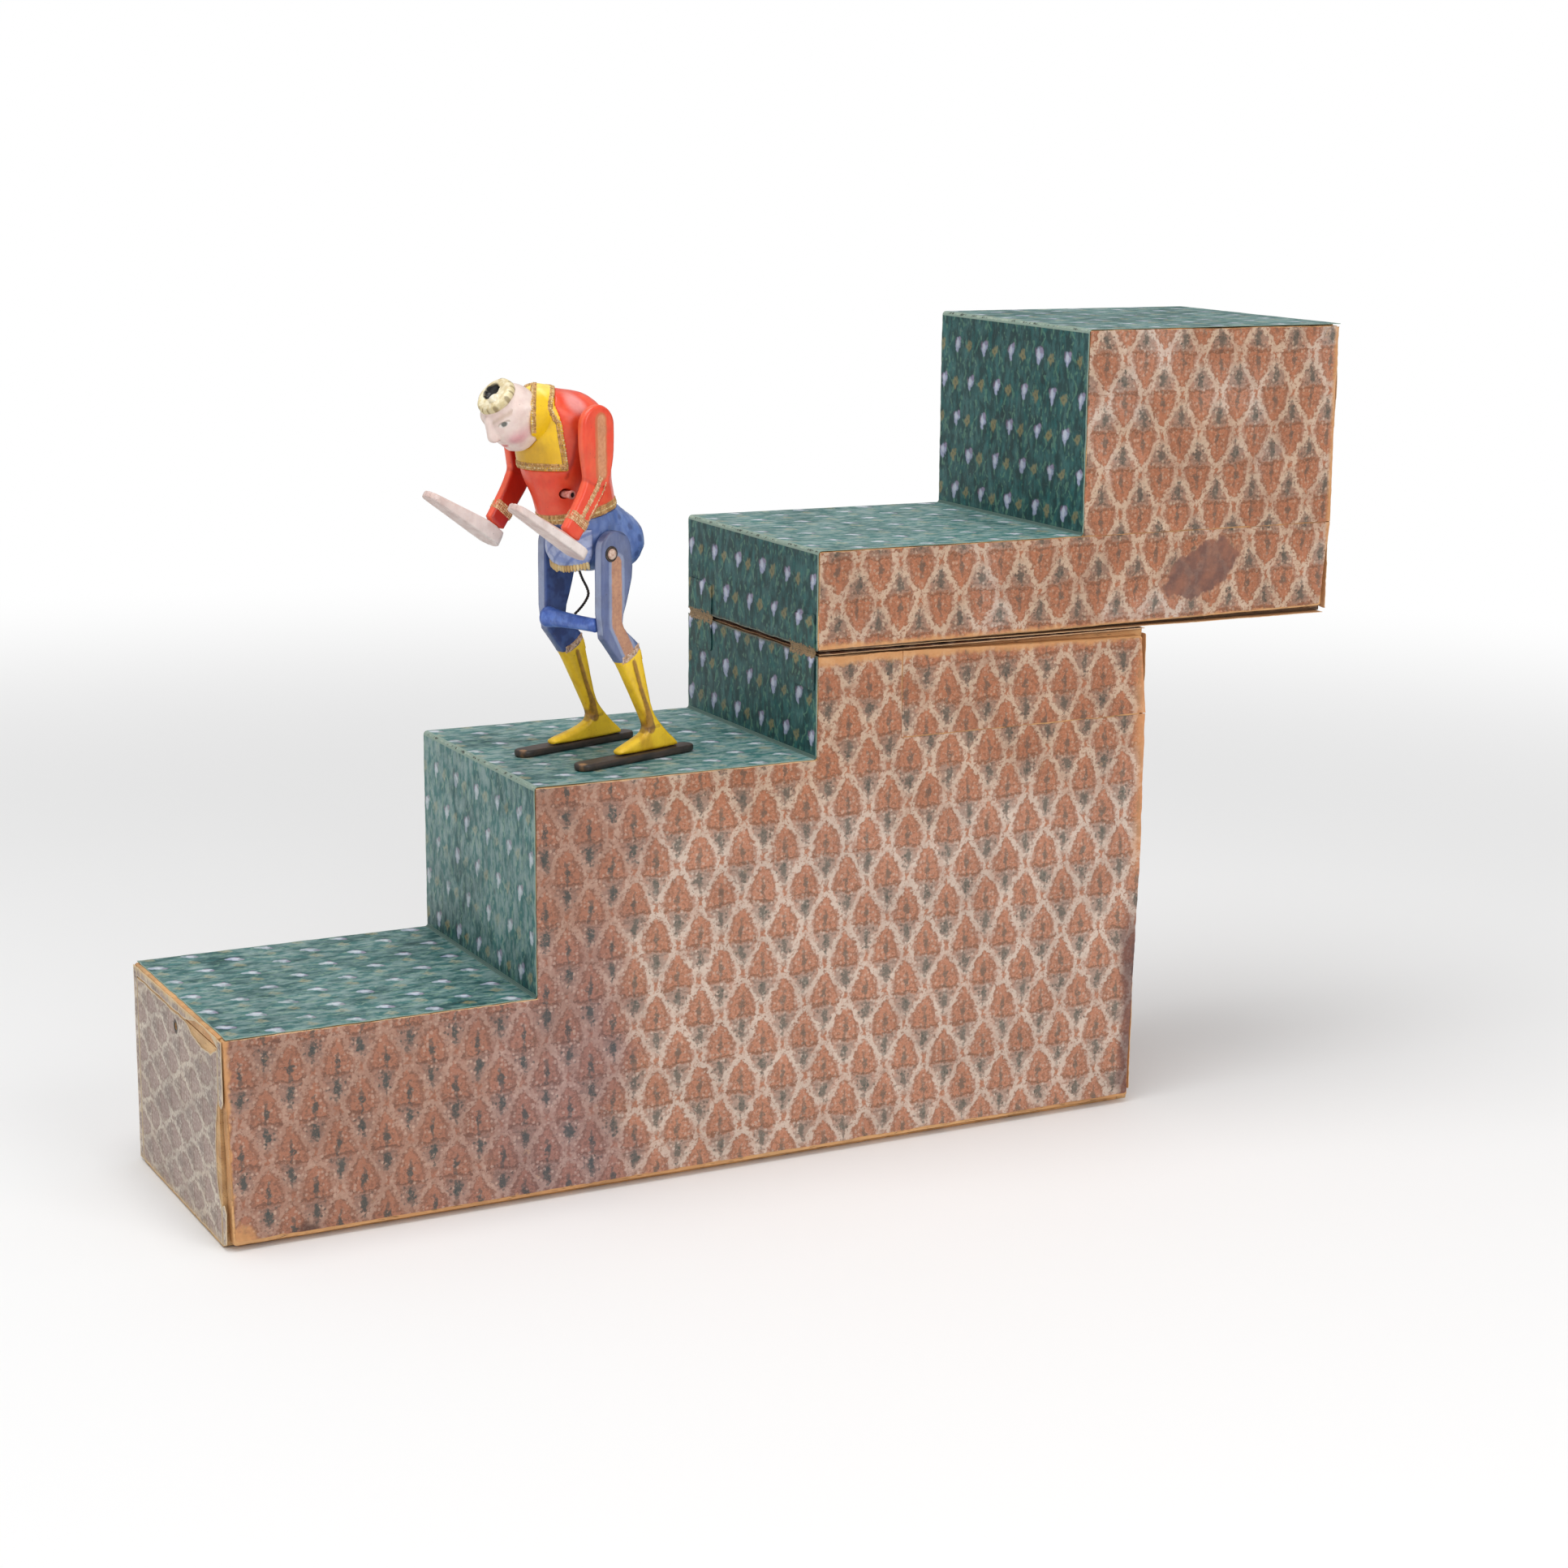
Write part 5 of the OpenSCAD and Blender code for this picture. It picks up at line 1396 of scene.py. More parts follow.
def makeBraid(name, first, second, third, age=0.3):
    made, tree, shader = newMaterial(name)
    place = onFigure(tree)
    tint = attribute(tree, "tint")
    colour = mixColour(ramp(tint, 0.3, 0.4), hue(first), hue(second))
    colour = colour.under((ramp(tint, 0.78, 0.84) * 0.8, hue(third)))
    painted = useGroup("paint", Place=place, Paint=colour, Chips=0.2, Age=age, Under=tone(150, 110, 70))
    finishMaterial(tree, shader, painted.color, (0.36 + cloud(place, 2.0) * 0.25).clip(), painted.height, 0.05)
    return made


goldBraid = makeBraid("goldBraid", "gold", (206, 160, 104), "brown", 0.3)
creamBraid = makeBraid("creamBraid", (222, 198, 148), (204, 172, 116), (178, 142, 88), 0.25)

trimBraid = makeBraid("trimBraid", (188, 150, 120), (206, 178, 160), (150, 112, 80), 0.3)

# legs
legShape = dict(toeNear=6.4, toeFar=10.2, middle=12.0, half=1.8)


def legLoop(toe):
    points = [(0.4 - toe, 2.0), (-toe - 0.1, 2.9), (-toe + 0.4, 3.8), (-toe * 0.45, 4.9), (0.2, 6.0), (3.2, 7.2),
        (4.4, 8.6), (3.9, 10.6), (0.2, 17.5), (-5.9, 28.6), (-9.0, 32.6), (-13.0, 37.4)]
    points += [(-7.4 + 5.6 * cos(radians(a)), 61.0 + 5.6 * sin(radians(a))) for a in range(180, -1, -15)]
    points += [(-1.0, 54.6), (-2.9, 47.5), (-5.3, 40.9), (-4.2, 38.2), (-1.0, 35.6), (1.5, 33.3), (3.2, 27.0),
        (5.0, 19.5), (6.3, 14.8), (7.8, 11.8), (12.0, 7.2), (16.3, 3.6), (16.6, 2.6), (16.4, 2.0)]
    return softened(points, 1)


stripeLine = [(-7.6, 57.6), (-7.5, 40.2), (-2.9, 31.8)]
frontField = [(-16, 34), (-11.5, 38), (-12.2, 68), (-30, 68), (-30, 20), (-8, 20)]
bootBack = [(2.2, 32.4), (3.3, 27), (5.2, 19.3), (7.6, 12.1), (12, 7.3), (16.5, 3.6)]
streakLine = [(-1.2, 28.6), (1.6, 20.5), (4.6, 13.0), (5.6, 8.6)]
bootTop = [(-12.5, 25.2), (-8.9, 27.4), (-6.4, 28.9), (-3.4, 29.0), (-0.8, 30.4), (1.2, 32.4), (4.2, 33.4),
    (24, 33.4), (24, -4), (-26, -4), (-26, 25.2)]


def inBoot(own):
    return fromField(own, bootTop)


def legMarks(side):
    def outer(own):  # positive on the outer face
        return (own[:, 1] * side - legShape["middle"])

    return dict(
        boot=inBoot,
        stripe=lambda own: fromLine(own, stripeLine) - 1.9 + outsideOf(outer(own) > 1.0),
        band=lambda own: fromLine(own, stripeLine) - 2.9 + outsideOf(outer(own) > 0.6),
        # the inner faces are painted a deeper navy, partly painted shade between the legs
        inner=lambda own: outer(own) + 1.3,
        # the front edges are painted paler blue, a painted highlight
        front=lambda own: fromField(own, frontField) + outsideOf(np.abs(outer(own)) < 1.45),
        streak=lambda own: fromLine(own, streakLine) - 0.75 - np.clip((17 - own[:, 2]) * 0.08, 0, 0.9),
        backLine=lambda own: fromLine(own, bootBack) - 0.5 + outsideOf(own[:, 2] < 32),
        ankle=lambda own: fromLine(own, [(3.4, 7.6), (5.0, 8.6), (8.6, 9.0)]) - 0.4,
        seam=lambda own: fromLine(own, [(-12.6, 66.5), (-8.6, 67.2), (-4.2, 65.2)]) - 0.35)


def legRelief(p, e):  # the boot's shaft is fuller, with a fold along its streak, and the foot rises at the instep
    boot = -fieldDistance(np.array([p]), bootTop)[0]
    away = lineDistance(np.array([p]), streakLine)[0]
    full = 0.22 * min(1.0, max(0.0, boot / 0.7)) * min(1.0, e / 0.6)
    return full - 0.3 * exp(-(away / 0.55) ** 2) * (boot > 0) + 0.05 * wander(p, 4.0, 5.5)


# the deeper navy of the inner faces is partly painted shade; the paler front edges are a painted highlight
legPaint = paintMaterial("legPaint", [("inner", speckled("navy", (58, 88, 156), 4.0), 0.92, 0.5),
    ("front", "paleBlue", 0.9, 0.25), ("band", "paleBlue", 0.75, 0.3),
    ("stripe", speckled("stripe", (180, 124, 92), 0.9, 0.3, 0.7), 0.92, 0.3), ("seam", (50, 70, 120), 0.7, 0.2),
    ("boot", speckled("boot", "bootShade", 5.0, 0.5, 0.8, (1, 1, 0.4)), 1.0, 0.12),
    ("backLine", (70, 50, 20), 0.55, 0.3), ("streak", speckled("streak", (150, 100, 30), 2.0), 0.85, 0.28),
    ("ankle", "streak", 0.6, 0.3)], speckled("blue", (86, 100, 146), 3.0, 0.35, 0.7, (1, 1, 0.3)), chips=0.6,
    age=0.35)


def makeLeg(side, toe, name, node):
    def roundness(p):
        return 1.3 if p[1] < 29 else 0.75
    made = carvedBoard(name, legLoop(toe), side * legShape["middle"], legShape["half"], legPaint, roundness, step=0.8,
        relief=legRelief, seed=5)
    mark(made, **legMarks(side))
    give(made, "legs", node)
    # braid round the boot top, on the outer face and across the inner face
    line = [(-5.2, 29.2), (-3.8, 29.6), (-2.2, 30.4), (-0.6, 31.6), (0.6, 32.6)]
    line = [tuple(p) for p in densified([Vector(p) for p in line], 0.5, closed=False)]
    runs = [[((b, face * (legShape["half"] - 0.05) + side * legShape["middle"], z + lift), (0, face, 0))
        for b, z in line] for face in (-1, 1) for lift in (1.0, 0.5, 0.0, -0.5)]
    beadRun(name + "Braid", runs, "legs", trimBraid, 0.62, 0.75, 0.66, 0.45, 0.25)


makeLeg(-1, legShape["toeNear"], "legNear", "leg_near")
makeLeg(1, legShape["toeFar"], "legFar", "leg_far")

# skis under the feet
skiPaint = paintMaterial("skiPaint", [("tip", (172, 126, 80), 0.75, 0.35), ("rim", (112, 78, 52), 0.5, 0.3)],
    speckled((44, 38, 36), (64, 50, 42), 2.2, 0.4, 0.65, (0.25, 1, 1)), chips=0.8, age=0.3, gloss=0.42, coat=0.1,
    under=(150, 108, 70))
for side, name, node in ((-1, "skiNear", "ski_near"), (1, "skiFar", "ski_far")):
    mid = side * 12.8
    loop = [(22.15 - 3 + 3 * cos(a), mid + 3 * sin(a)) for a in np.linspace(-pi / 2, pi / 2, 9)]
    loop += [(-22.15 + 3 + 3 * cos(a), mid + 3 * sin(a)) for a in np.linspace(pi / 2, 3 * pi / 2, 9)]
    ski = carvedBoard(name, loop, 1.0, 1.0, skiPaint, 0.55, step=1.1, density=0.7,
        place=lambda s, t, h: (s, t, 1.0 + h), relief=lambda p, e: -0.06 * abs(wander(p, 3.0, 2.0)), seed=6)
    mark(ski, tip=lambda own, m=mid: np.hypot(own[:, 0] + 20.6, own[:, 1] - m + 1.0) - 1.1,
        rim=lambda own, m=mid: 1.0 - np.abs(own[:, 2] - 1.0) + 0.15)
    give(ski, "legs", node)

# crossbar between the knees, thicker towards the far leg
barPaint = paintMaterial("barPaint", [], speckled((90, 124, 204), (62, 96, 182), 3.0), chips=0.6)
profile = [(-10.2, 2.0), (-9.0, 1.95), (-4.0, 2.0), (0.0, 2.15), (4.0, 2.35), (7.5, 2.7), (9.2, 3.0), (10.2, 3.05)]
give(lathed("crossbar", profile, (-12.4, 0, 40.0), (0, 1, 0), barPaint), "legs", "knee_crossbar")

# hip pin with bone heads; the dark rings round them are painted shade of the gaps
boneMaterial = paintMaterial("bone", [], speckled((222, 196, 180), (186, 150, 134), 1.2), chips=0.0, age=0.5,
    gloss=0.3)
# dark finish for the check thread and for the rings of painted shade round the pin heads
threadAndShadeMaterial = paintMaterial("soot", [], speckled("soot", (70, 58, 50), 1.0), chips=0.0, age=0.2, gloss=0.5, coat=0.0)
hipPlace = (figureSetup["hip"][0], 0, figureSetup["hip"][1])
pinProfile = [(-14.85, 0.05), (-14.8, 0.7), (-14.55, 1.25), (-14.2, 1.5), (-13.9, 1.55), (-13.8, 1.1), (13.8, 1.1),
    (13.9, 1.55), (14.2, 1.5), (14.55, 1.25), (14.8, 0.7), (14.85, 0.05)]
give(lathed("hipPin", pinProfile, hipPlace, (0, 1, 0), boneMaterial), "legs", "hip_pin")
for side in (-1, 1):
    ring = [(0.0, 1.5), (0.22, 1.55), (0.34, 1.85), (0.28, 2.15), (0.0, 2.3)]
    give(lathed("pinRing" + ("Near" if side < 0 else "Far"), ring, (hipPlace[0], side * 13.75, hipPlace[2]),
        (0, side, 0), threadAndShadeMaterial), "legs")


# check thread: three strands laid round each other
def makeThread():
    run = [(-9.2, 0, 54.6), (-9.2, 0, 54), (-8, 0.1, 51.6), (-6.3, 0.2, 49), (-5.7, 0.2, 47), (-6.8, 0.1, 45.2),
        (-8.7, 0, 43.5), (-11, 0, 41.9)]
    run = [Vector(p) for p in run]
    fine = []
    for i in range(len(run) - 1):
        p0, p1, p2, p3 = run[max(0, i - 1)], run[i], run[i + 1], run[min(len(run) - 1, i + 2)]
        for k in range(8):
            t = k / 8
            fine.append(0.5 * ((2 * p1) + (p2 - p0) * t + (2 * p0 - 5 * p1 + 4 * p2 - p3) * t * t
                + (3 * p1 - 3 * p2 + p3 - p0) * t ** 3))
    fine.append(run[-1])
    points, faces = [], []
    for strand in range(3):
        length = 0.0
        first = len(points)
        for i, p in enumerate(fine):
            along = (fine[min(i + 1, len(fine) - 1)] - fine[max(i - 1, 0)]).normalized()
            side = along.cross(Vector((0, 1, 0))).normalized()
            other = along.cross(side)
            length += (p - fine[i - 1]).length if i else 0
            a = length * 2.6 + strand * 2 * pi / 3
            middle = p + (side * cos(a) + other * sin(a)) * 0.2
            for k in range(6):
                c = 2 * pi * k / 6
                points.append(middle + (side * cos(c) + other * sin(c)) * 0.23)
        faces += tubeFaces(len(fine), 6, first)
    return makeSolid("checkThread", points, faces, threadAndShadeMaterial)


checkThread = makeThread()
lowEnd, highEnd = (tuple(c * mm for c in stand(b, 0, up)) for b, up in ((-11.0, 41.9), (-9.2, 54.6)))
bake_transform(checkThread)
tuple(lowEnd)
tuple(highEnd)
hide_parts("check_thread")
print("legs are ready")

# torso: jacket, seat of the trousers, apron and yoke, whittled from one block
hemNormal = Vector((-sin(radians(10.5)), 0, cos(radians(10.5))))
hemMiddle = Vector((-11.2, 0, 70.2))


def aboveHem(own):
    return (own[:, 0] - hemMiddle.x) * hemNormal.x + (own[:, 2] - hemMiddle.z) * hemNormal.z


jacketPaint = paintMaterial("jacketPaint", [("shade", "deepRed", 0.45, 1.8), ("sheen", (236, 160, 158), 0.75, 1.2),
    ("hem", speckled((196, 150, 100), (166, 118, 70), 0.9), 0.9, 0.35), ("crease", (150, 22, 8), 0.6, 0.5)],
    speckled("red", (238, 84, 48), 4.0, 0.35, 0.75), chips=0.5, age=0.25, gloss=0.32, coat=0.3)
jacket = carved("jacket", ["jacket"], 0.34, 8, jacketPaint)
own = ownPoints(jacket)
folds = np.array([0.22 * bumps(p[0] / 5.0, p[1] / 6.0, p[2] / 7.0) for p in own])
waist = -0.35 * np.exp(-((aboveHem(own) - 8.5) / 3.5) ** 2)
hemLip = 0.35 * np.exp(-((aboveHem(own) - 1.2) / 1.1) ** 2)
swell(jacket, folds + waist + hemLip)
mark(jacket, shade=lambda o: fromField(o, [(-21.5, 96), (-16.0, 96), (-13.0, 78), (-19.0, 76)]) + 0.8,
    sheen=lambda o: np.hypot((o[:, 0] + 18.6) / 3.6, (o[:, 2] - 102.4) / 3.4) * 3.2 - 2.4
    + np.maximum(4.5 - np.abs(o[:, 1]), 0), hem=lambda o: np.abs(aboveHem(o) - 1.5) - 1.5,
    # the dark line beside the arm's front edge is painted shade
    crease=lambda o: fromLine(o, [(-20.2, 94.0), (-20.6, 88.0), (-21.6, 82.0)]) - 0.4)
give(jacket, "torso", "jacket")

# the thin pale line along the seat's upper back edge is a painted highlight
seatPaint = paintMaterial("seatPaint", [("spots", (40, 58, 110), 0.6, 0.4), ("piping", (206, 200, 190), 0.8, 0.25)],
    speckled((106, 132, 190), (76, 104, 168), 3.2, 0.3, 0.7, (1, 1, 0.6)), chips=0.5, age=0.35)
seat = carved("trousersSeat", ["trousers_seat"], 0.34, 8, seatPaint)
swell(seat, np.array([0.32 * bumps(p[0] / 4.0, p[1] / 7.0, p[2] / 4.0 + 3.0)
    + 0.16 * bumps(p[0] / 1.6, p[1] / 3.5, p[2] / 2.2) for p in ownPoints(seat)]))
mark(seat, spots=lambda o: np.min([np.hypot(o[:, 0] - b, o[:, 2] - z) - r for b, z, r in ((2.0, 66.5, 0.9),
    (5.6, 63.0, 1.1), (-1.5, 69.5, 0.8), (7.2, 66.0, 0.7), (4.6, 58.6, 0.9))], axis=0),
    piping=lambda o: outsideOf((np.abs(o[:, 1] + 4.6) < 0.4) & (aboveHem(o) < -0.4) & (o[:, 2] > 64)
    & (o[:, 0] > -2)) - 0.3)
give(seat, "torso", "trousers_seat")

apronPaint = paintMaterial("apronPaint", [("lines", (96, 116, 176), 0.8, 0.25)],
    speckled((158, 170, 208), (126, 142, 194), 3.0, 0.4, 0.65), chips=0.4, age=0.35)
apron = carved("apron", ["apron"], 0.3, 6, apronPaint)
mark(apron, lines=lambda o: np.abs(((o[:, 1] * 0.8 + o[:, 2]) / 4.2 + 0.5) % 1.0 - 0.5) * 4.2 - 0.45)
give(apron, "torso", "apron")

# the yoke's lower front is darkened with painted shade and its top lightened with a painted highlight
yokePaint = paintMaterial("yokePaint", [("low", "yokeShade", 0.8, 2.0), ("top", (252, 236, 120), 0.6, 1.2)],
    speckled("yoke", (240, 192, 16), 4.0), chips=0.35, age=0.25)
yoke = carved("yoke", ["yoke"], 0.3, 6, yokePaint)
mark(yoke, low=lambda o: np.hypot((o[:, 0] + 30.0) / 4.6, (o[:, 2] - 87.5) / 3.6) * 4 - 4.6,
    top=lambda o: 105.4 - o[:, 2])
give(yoke, "torso", "yoke")

# head, with a doll's plain face
headFrame = dict(middle=(-33.4, 99.4), lean=48.0)
capHole = dict(back=0.9, across=1.3, radius=2.65, floor=7.4)
leanAngle = radians(headFrame["lean"])
headUp = np.array([-sin(leanAngle), 0, cos(leanAngle)])
headFore = np.array([-cos(leanAngle), 0, -sin(leanAngle)])


def headAxes(own):  # forwards, across and towards the crown
    rel = own - np.array([headFrame["middle"][0], 0, headFrame["middle"][1]])
    return rel @ headFore, own[:, 1], rel @ headUp


def fromHole(own):  # distance from the axis of the cap's hole
    fore, across, _ = headAxes(own)
    return np.hypot(fore + capHole["back"], across - capHole["across"])


def bell(value, middle, width):
    return np.exp(-((value - middle) / width) ** 2)


def twin(across, place, width):
    return bell(across, place, width) + bell(across, -place, width)


# strength, height on the face, spread in height, distance from the middle, spread across
faceBumps = [(-0.55, 3.4, 1.5, 4.0, 1.5), (0.35, 5.6, 1.0, 3.6, 2.2), (0.28, 3.5, 0.8, 4.2, 0.9),
    (0.45, -1.0, 2.0, 4.6, 1.9), (0.15, -2.3, 0.5, 0, 1.7), (0.15, -3.5, 0.5, 0, 1.7), (-0.225, -2.9, 0.3, 0, 1.7),
    (0.2, -5.2, 1.2, 0, 1.8), (0.25, 0.9, 0.7, 1.3, 0.6)]
facePaint = paintMaterial("facePaint", [("cheek", "cheek", 0.62, 1.5), ("lips", (206, 96, 92), 0.8, 0.35),
    ("brow", (184, 156, 132), 0.55, 0.5), ("eyeWhite", (236, 230, 226), 0.6, 0.2), ("lid", (150, 122, 104), 0.6, 0.2),
    ("iris", (84, 90, 84), 0.95, 0.25), ("nostril", (170, 110, 104), 0.6, 0.2), ("bore", (14, 10, 8), 1.0, 0.2)],
    speckled("flesh", (228, 200, 192), 4.0, 0.4, 0.75), chips=0.2, age=0.22, gloss=0.26, coat=0.35)
head = carved("head", ["head"], 0.26, 7, facePaint)
own = ownPoints(head)
normal = ownNormals(head)
fore, across, crown = headAxes(own)
well = (fromHole(own) < capHole["radius"] + 0.65) & (crown > capHole["floor"])
own = own - np.where(well, crown - capHole["floor"], 0.0)[:, None] * headUp  # sunk under the cap's hole
facing = np.clip((fore - 2.0) / 3.0, 0, 1)
shape = sum(k * bell(crown, high, tall) * twin(across, out, wide) for k, high, tall, out, wide in faceBumps) * facing
ears = (bell(fore, -1.2, 1.3) * bell(crown, 1.4, 2.0) - 0.6 * bell(fore, -0.8, 0.6) * bell(crown, 1.5,
    1.0)) * np.clip((np.abs(across) - 5.0) / 1.5, 0, 1)
setPoints(head, own + normal * (shape + 0.75 * ears)[:, None])


def faceMarks():
    def both(rule):
        def marked(own):
            fore, across, crown = headAxes(own)
            side = np.abs(across)
            return np.where(fore > 1.5, rule(side, crown), 9.0)
        return marked
    # the floor of the crown's hole is painted near-black, painted shade
    return dict(bore=lambda o: fromHole(o) - capHole["radius"] - 0.25 + outsideOf(headAxes(o)[2] > 5),
        cheek=both(lambda s, c: np.hypot((s - 5.2) / 1.1, c + 1.6) - 1.9),
        lips=both(lambda s, c: np.hypot(s / 1.7, (c + 2.9) / 0.9) * 0.9 - 0.8),
        brow=both(lambda s, c: np.abs(c - 5.9 + ((s - 4.0) / 2.6) ** 2 * 0.8) - 0.42 + np.where(np.abs(s - 4.0) > 2.3,
        9, 0)), eyeWhite=both(lambda s, c: np.hypot((s - 4.2) / 1.5, (c - 3.9) / 0.8) - 0.95),
        lid=both(lambda s, c: np.abs(c - 4.6 + ((s - 4.2) / 1.8) ** 2 * 0.9) - 0.2 + np.where(np.abs(s - 4.2) > 1.6,
        9, 0)), iris=both(lambda s, c: np.hypot(s - 4.3, c - 3.9) - 0.72),
        nostril=both(lambda s, c: np.hypot(s - 0.9, c - 0.1) - 0.4))


mark(head, **faceMarks())
give(head, "torso", "head")


# cap: a low disc on the crown with painted tufts round its rim, a hole and the stopper's stump
def headPoint(fore, across, crown):
    m = headFrame["middle"]
    return (m[0] + fore * headFore[0] + crown * headUp[0], across, m[1] + fore * headFore[2] + crown * headUp[2])


# the cap's hole is painted near-black, painted shade
capPaint = paintMaterial("capPaint", [("rimDabs", (214, 198, 148), 0.7, 0.6), ("tuft", (112, 92, 54), 0.7, 0.3),
    ("hole", (14, 10, 8), 1.0, 0.3)], speckled((246, 236, 204), (224, 206, 160), 1.6, 0.4, 0.6), chips=0.1, age=0.35,
    gloss=0.42)


def makeCap():
    sides, points = 64, []
    rings = [(5.6, -2.3), (5.8, -1.6), (5.7, -0.9), (5.35, -0.4), (4.8, -0.1), (4.2, 0.0), (3.5, 0.06), (2.9, 0.04),
        (2.6, -0.2), (2.45, -0.7), (2.3, -1.2), (0.8, -1.3)]
    for r, h in rings:
        inner = min(1.0, max(0.0, (4.9 - r) / 1.8))  # the hole lies a little back and to the far side
        for k in range(sides):
            a = 2 * pi * k / sides
            uneven = 1 + 0.05 * bumps(cos(a) * 2.4, sin(a) * 2.4, r) + inner * 0.3 * bumps(cos(a) * 1.9, sin(a) * 1.9,
                4.0)
            tuft = 0.25 * max(0.0, bumps(cos(a) * 4.5, sin(a) * 4.5, 2.0)) if 4.5 < r < 5.75 else 0.0
            points.append(headPoint(r * uneven * cos(a) - 0.2 - 0.7 * inner, r * uneven * sin(a) + 1.3 * inner,
                9.45 + h + tuft))
    return makeSolid("cap", points, tubeFaces(len(rings), sides), capPaint)


def capAngle(own):
    fore, across, _ = headAxes(own)
    return np.arctan2(across, fore + 0.2), np.hypot(fore + 0.2, across)


cap = makeCap()
mark(cap, rimDabs=lambda o: 5.3 - capAngle(o)[1],
    tuft=lambda o: 0.1 + (0.75 - np.abs(np.sin(capAngle(o)[0] * 6.5 + 0.6 + 1.1 * np.sin(capAngle(o)[0] * 3.0))))
    * 2.4 + np.abs(capAngle(o)[1] - 5.6) * 0.8, hole=lambda o: fromHole(o) - capHole["radius"])
give(cap, "torso")
# the dark middle of the peg's end is painted shade of a hole
pegMaterial = paintMaterial("peg", [("bore", (20, 10, 8), 1.0, 0.12)],
    speckled((236, 160, 150), (208, 122, 108), 1.2), chips=0.0, age=0.3, gloss=0.35)
plugMaterial = paintMaterial("plug", [], speckled((250, 246, 230), (232, 220, 188), 1.0), chips=0.0, age=0.4,
    gloss=0.5, coat=0.1)
plugPlace = headPoint(1.5, -1.5, 9.1)
give(lathed("crownPlug", [(-0.6, 1.6), (0.2, 1.65), (0.6, 1.5), (0.85, 1.0), (0.95, 0.05)], plugPlace, headUp,
    plugMaterial, 24), "torso", "crown_plug")
pegProfile = [(4.8, 1.0), (8.6, 1.0), (9.2, 1.2), (9.7, 1.25), (9.95, 1.05), (10.0, 0.75), (9.8, 0.62), (9.0, 0.55)]
sidePeg = give(lathed("sidePeg", pegProfile, (-20.5, 0, 77.4), (0, -1, 0), pegMaterial, 24), "torso",
    "side_peg")
mark(sidePeg, bore=lambda o: np.hypot(o[:, 0] + 20.5, o[:, 2] - 77.4) - 0.7)
print("torso and head are ready")


# braids on the torso follow its skin
def skinOf(*pieces):
    points, faces = [], []
    for piece in pieces:
        first = len(points)
        points += [Vector(p) for p in ownPoints(piece)]
        faces += [tuple(first + i for i in f.vertices) for f in piece.data.polygons]
    return BVHTree.FromPolygons(points, faces)


def strike(skin, origin, target, lift=0.0):
    direction = (Vector(target) - Vector(origin)).normalized()
    place, normal, _, _ = skin.ray_cast(Vector(origin), direction)
    if place is None:
        return None
    if normal.dot(direction) > 0:
        normal = -normal
    return place + normal * lift, normal


def strikes(skin, rays, lift=0.0):
    hits = [strike(skin, origin, target, lift) for origin, target in rays]
    return [hit for hit in hits if hit]


def ringOn(skin, middle, axis, angles, reach=40, lift=0.0):  # points where rays towards the middle meet the skin
    axis = Vector(axis).normalized()
    side = Vector((0, 1, 0))
    other = axis.cross(side).normalized()
    return strikes(skin, [(Vector(middle) + (side * cos(a) + other * sin(a)) * reach, middle) for a in angles], lift)


torsoSkin = skinOf(jacket, yoke)
full = np.linspace(0, 2 * pi, 97)
# rows of cord along the hem
for number, (lift, material) in enumerate(((0.4, goldBraid), (0.95, goldBraid), (1.5, creamBraid), (2.05, goldBraid),
        (2.6, goldBraid))):
    hemRun = ringOn(torsoSkin, hemMiddle + hemNormal * lift, hemNormal, full, lift=-0.05)
    beadRun("hemBraid%d" % number, [hemRun], "torso", material, 0.66, 0.82, 0.72, 0.6, 0.22)
yokeSkin = skinOf(yoke)
crossings = {}
around = np.radians(np.arange(-30, 211, 4))
for lane in (0.25, 0.75, 1.25, 1.75):  # along the collar's front edge
    rays = []
    for a in around:
        lat, rise = 8.9 * cos(a), 7.8 * sin(a)
        b = -26.7 - 0.88 * abs(lat) + lane
        rays.append(((b, lat * 3, 99.1 + rise * 3), (b, 0, 99.1)))
    crossings["front", lane] = strikes(yokeSkin, rays)
for lane in (-0.65, -0.15, 0.35, 0.85):  # up both sides of the bib and over the shoulders
    run = []
    for side in (-1, 1):
        low, high = [], []
        for z in np.arange(84.6, 99.4, 0.6):
            b = -21.6 - 0.2 * (z - 84) - 0.55 - lane
            low.append(((b, side * 40, z), (b, 0, z)))
        for a in np.radians(np.arange(0, 88, 4)):
            out = Vector((0, side * cos(a), sin(a)))
            b = -18.1 - 0.88 * 11.0 * cos(a) - 0.45 - lane * 0.8
            high.append((Vector((b, 0, 97.0)) + out * 30, (b, 0, 97.0)))
        half = strikes(yokeSkin, low) + [hit for hit in strikes(yokeSkin, high) if hit[0].z > 99.6]
        run += half if side < 0 else half[::-1]
    crossings["back", lane] = [((run[max(0, i - 2)][0] + run[i][0] + run[min(len(run) - 1, i + 2)][0]) / 3,
        run[i][1]) for i in range(len(run))]
for lane in (0.4, 0.9, 1.4, 1.9):  # along the foot of the bib
    hits = ringOn(yokeSkin, (-25.0, 0, 84 + lane), (0, 0, 1), full)
    crossings["foot", lane] = sorted([h for h in hits if h[0].x < -21.9],
        key=lambda h: atan2(h[0].y, -(h[0].x + 21.0)))
middleLanes = [run for (where, lane), run in crossings.items() if lane in (0.75, -0.15, 0.9)]
outerLanes = [run for run in crossings.values() if not any(run is other for other in middleLanes)]
beadRun("yokeBraid", outerLanes, "torso", goldBraid, 0.58, 0.72, 0.6, 0.5, 0.22)
beadRun("yokeBraidPearls", middleLanes, "torso", creamBraid, 0.72, 0.7, 0.62, 0.62, 0.25)

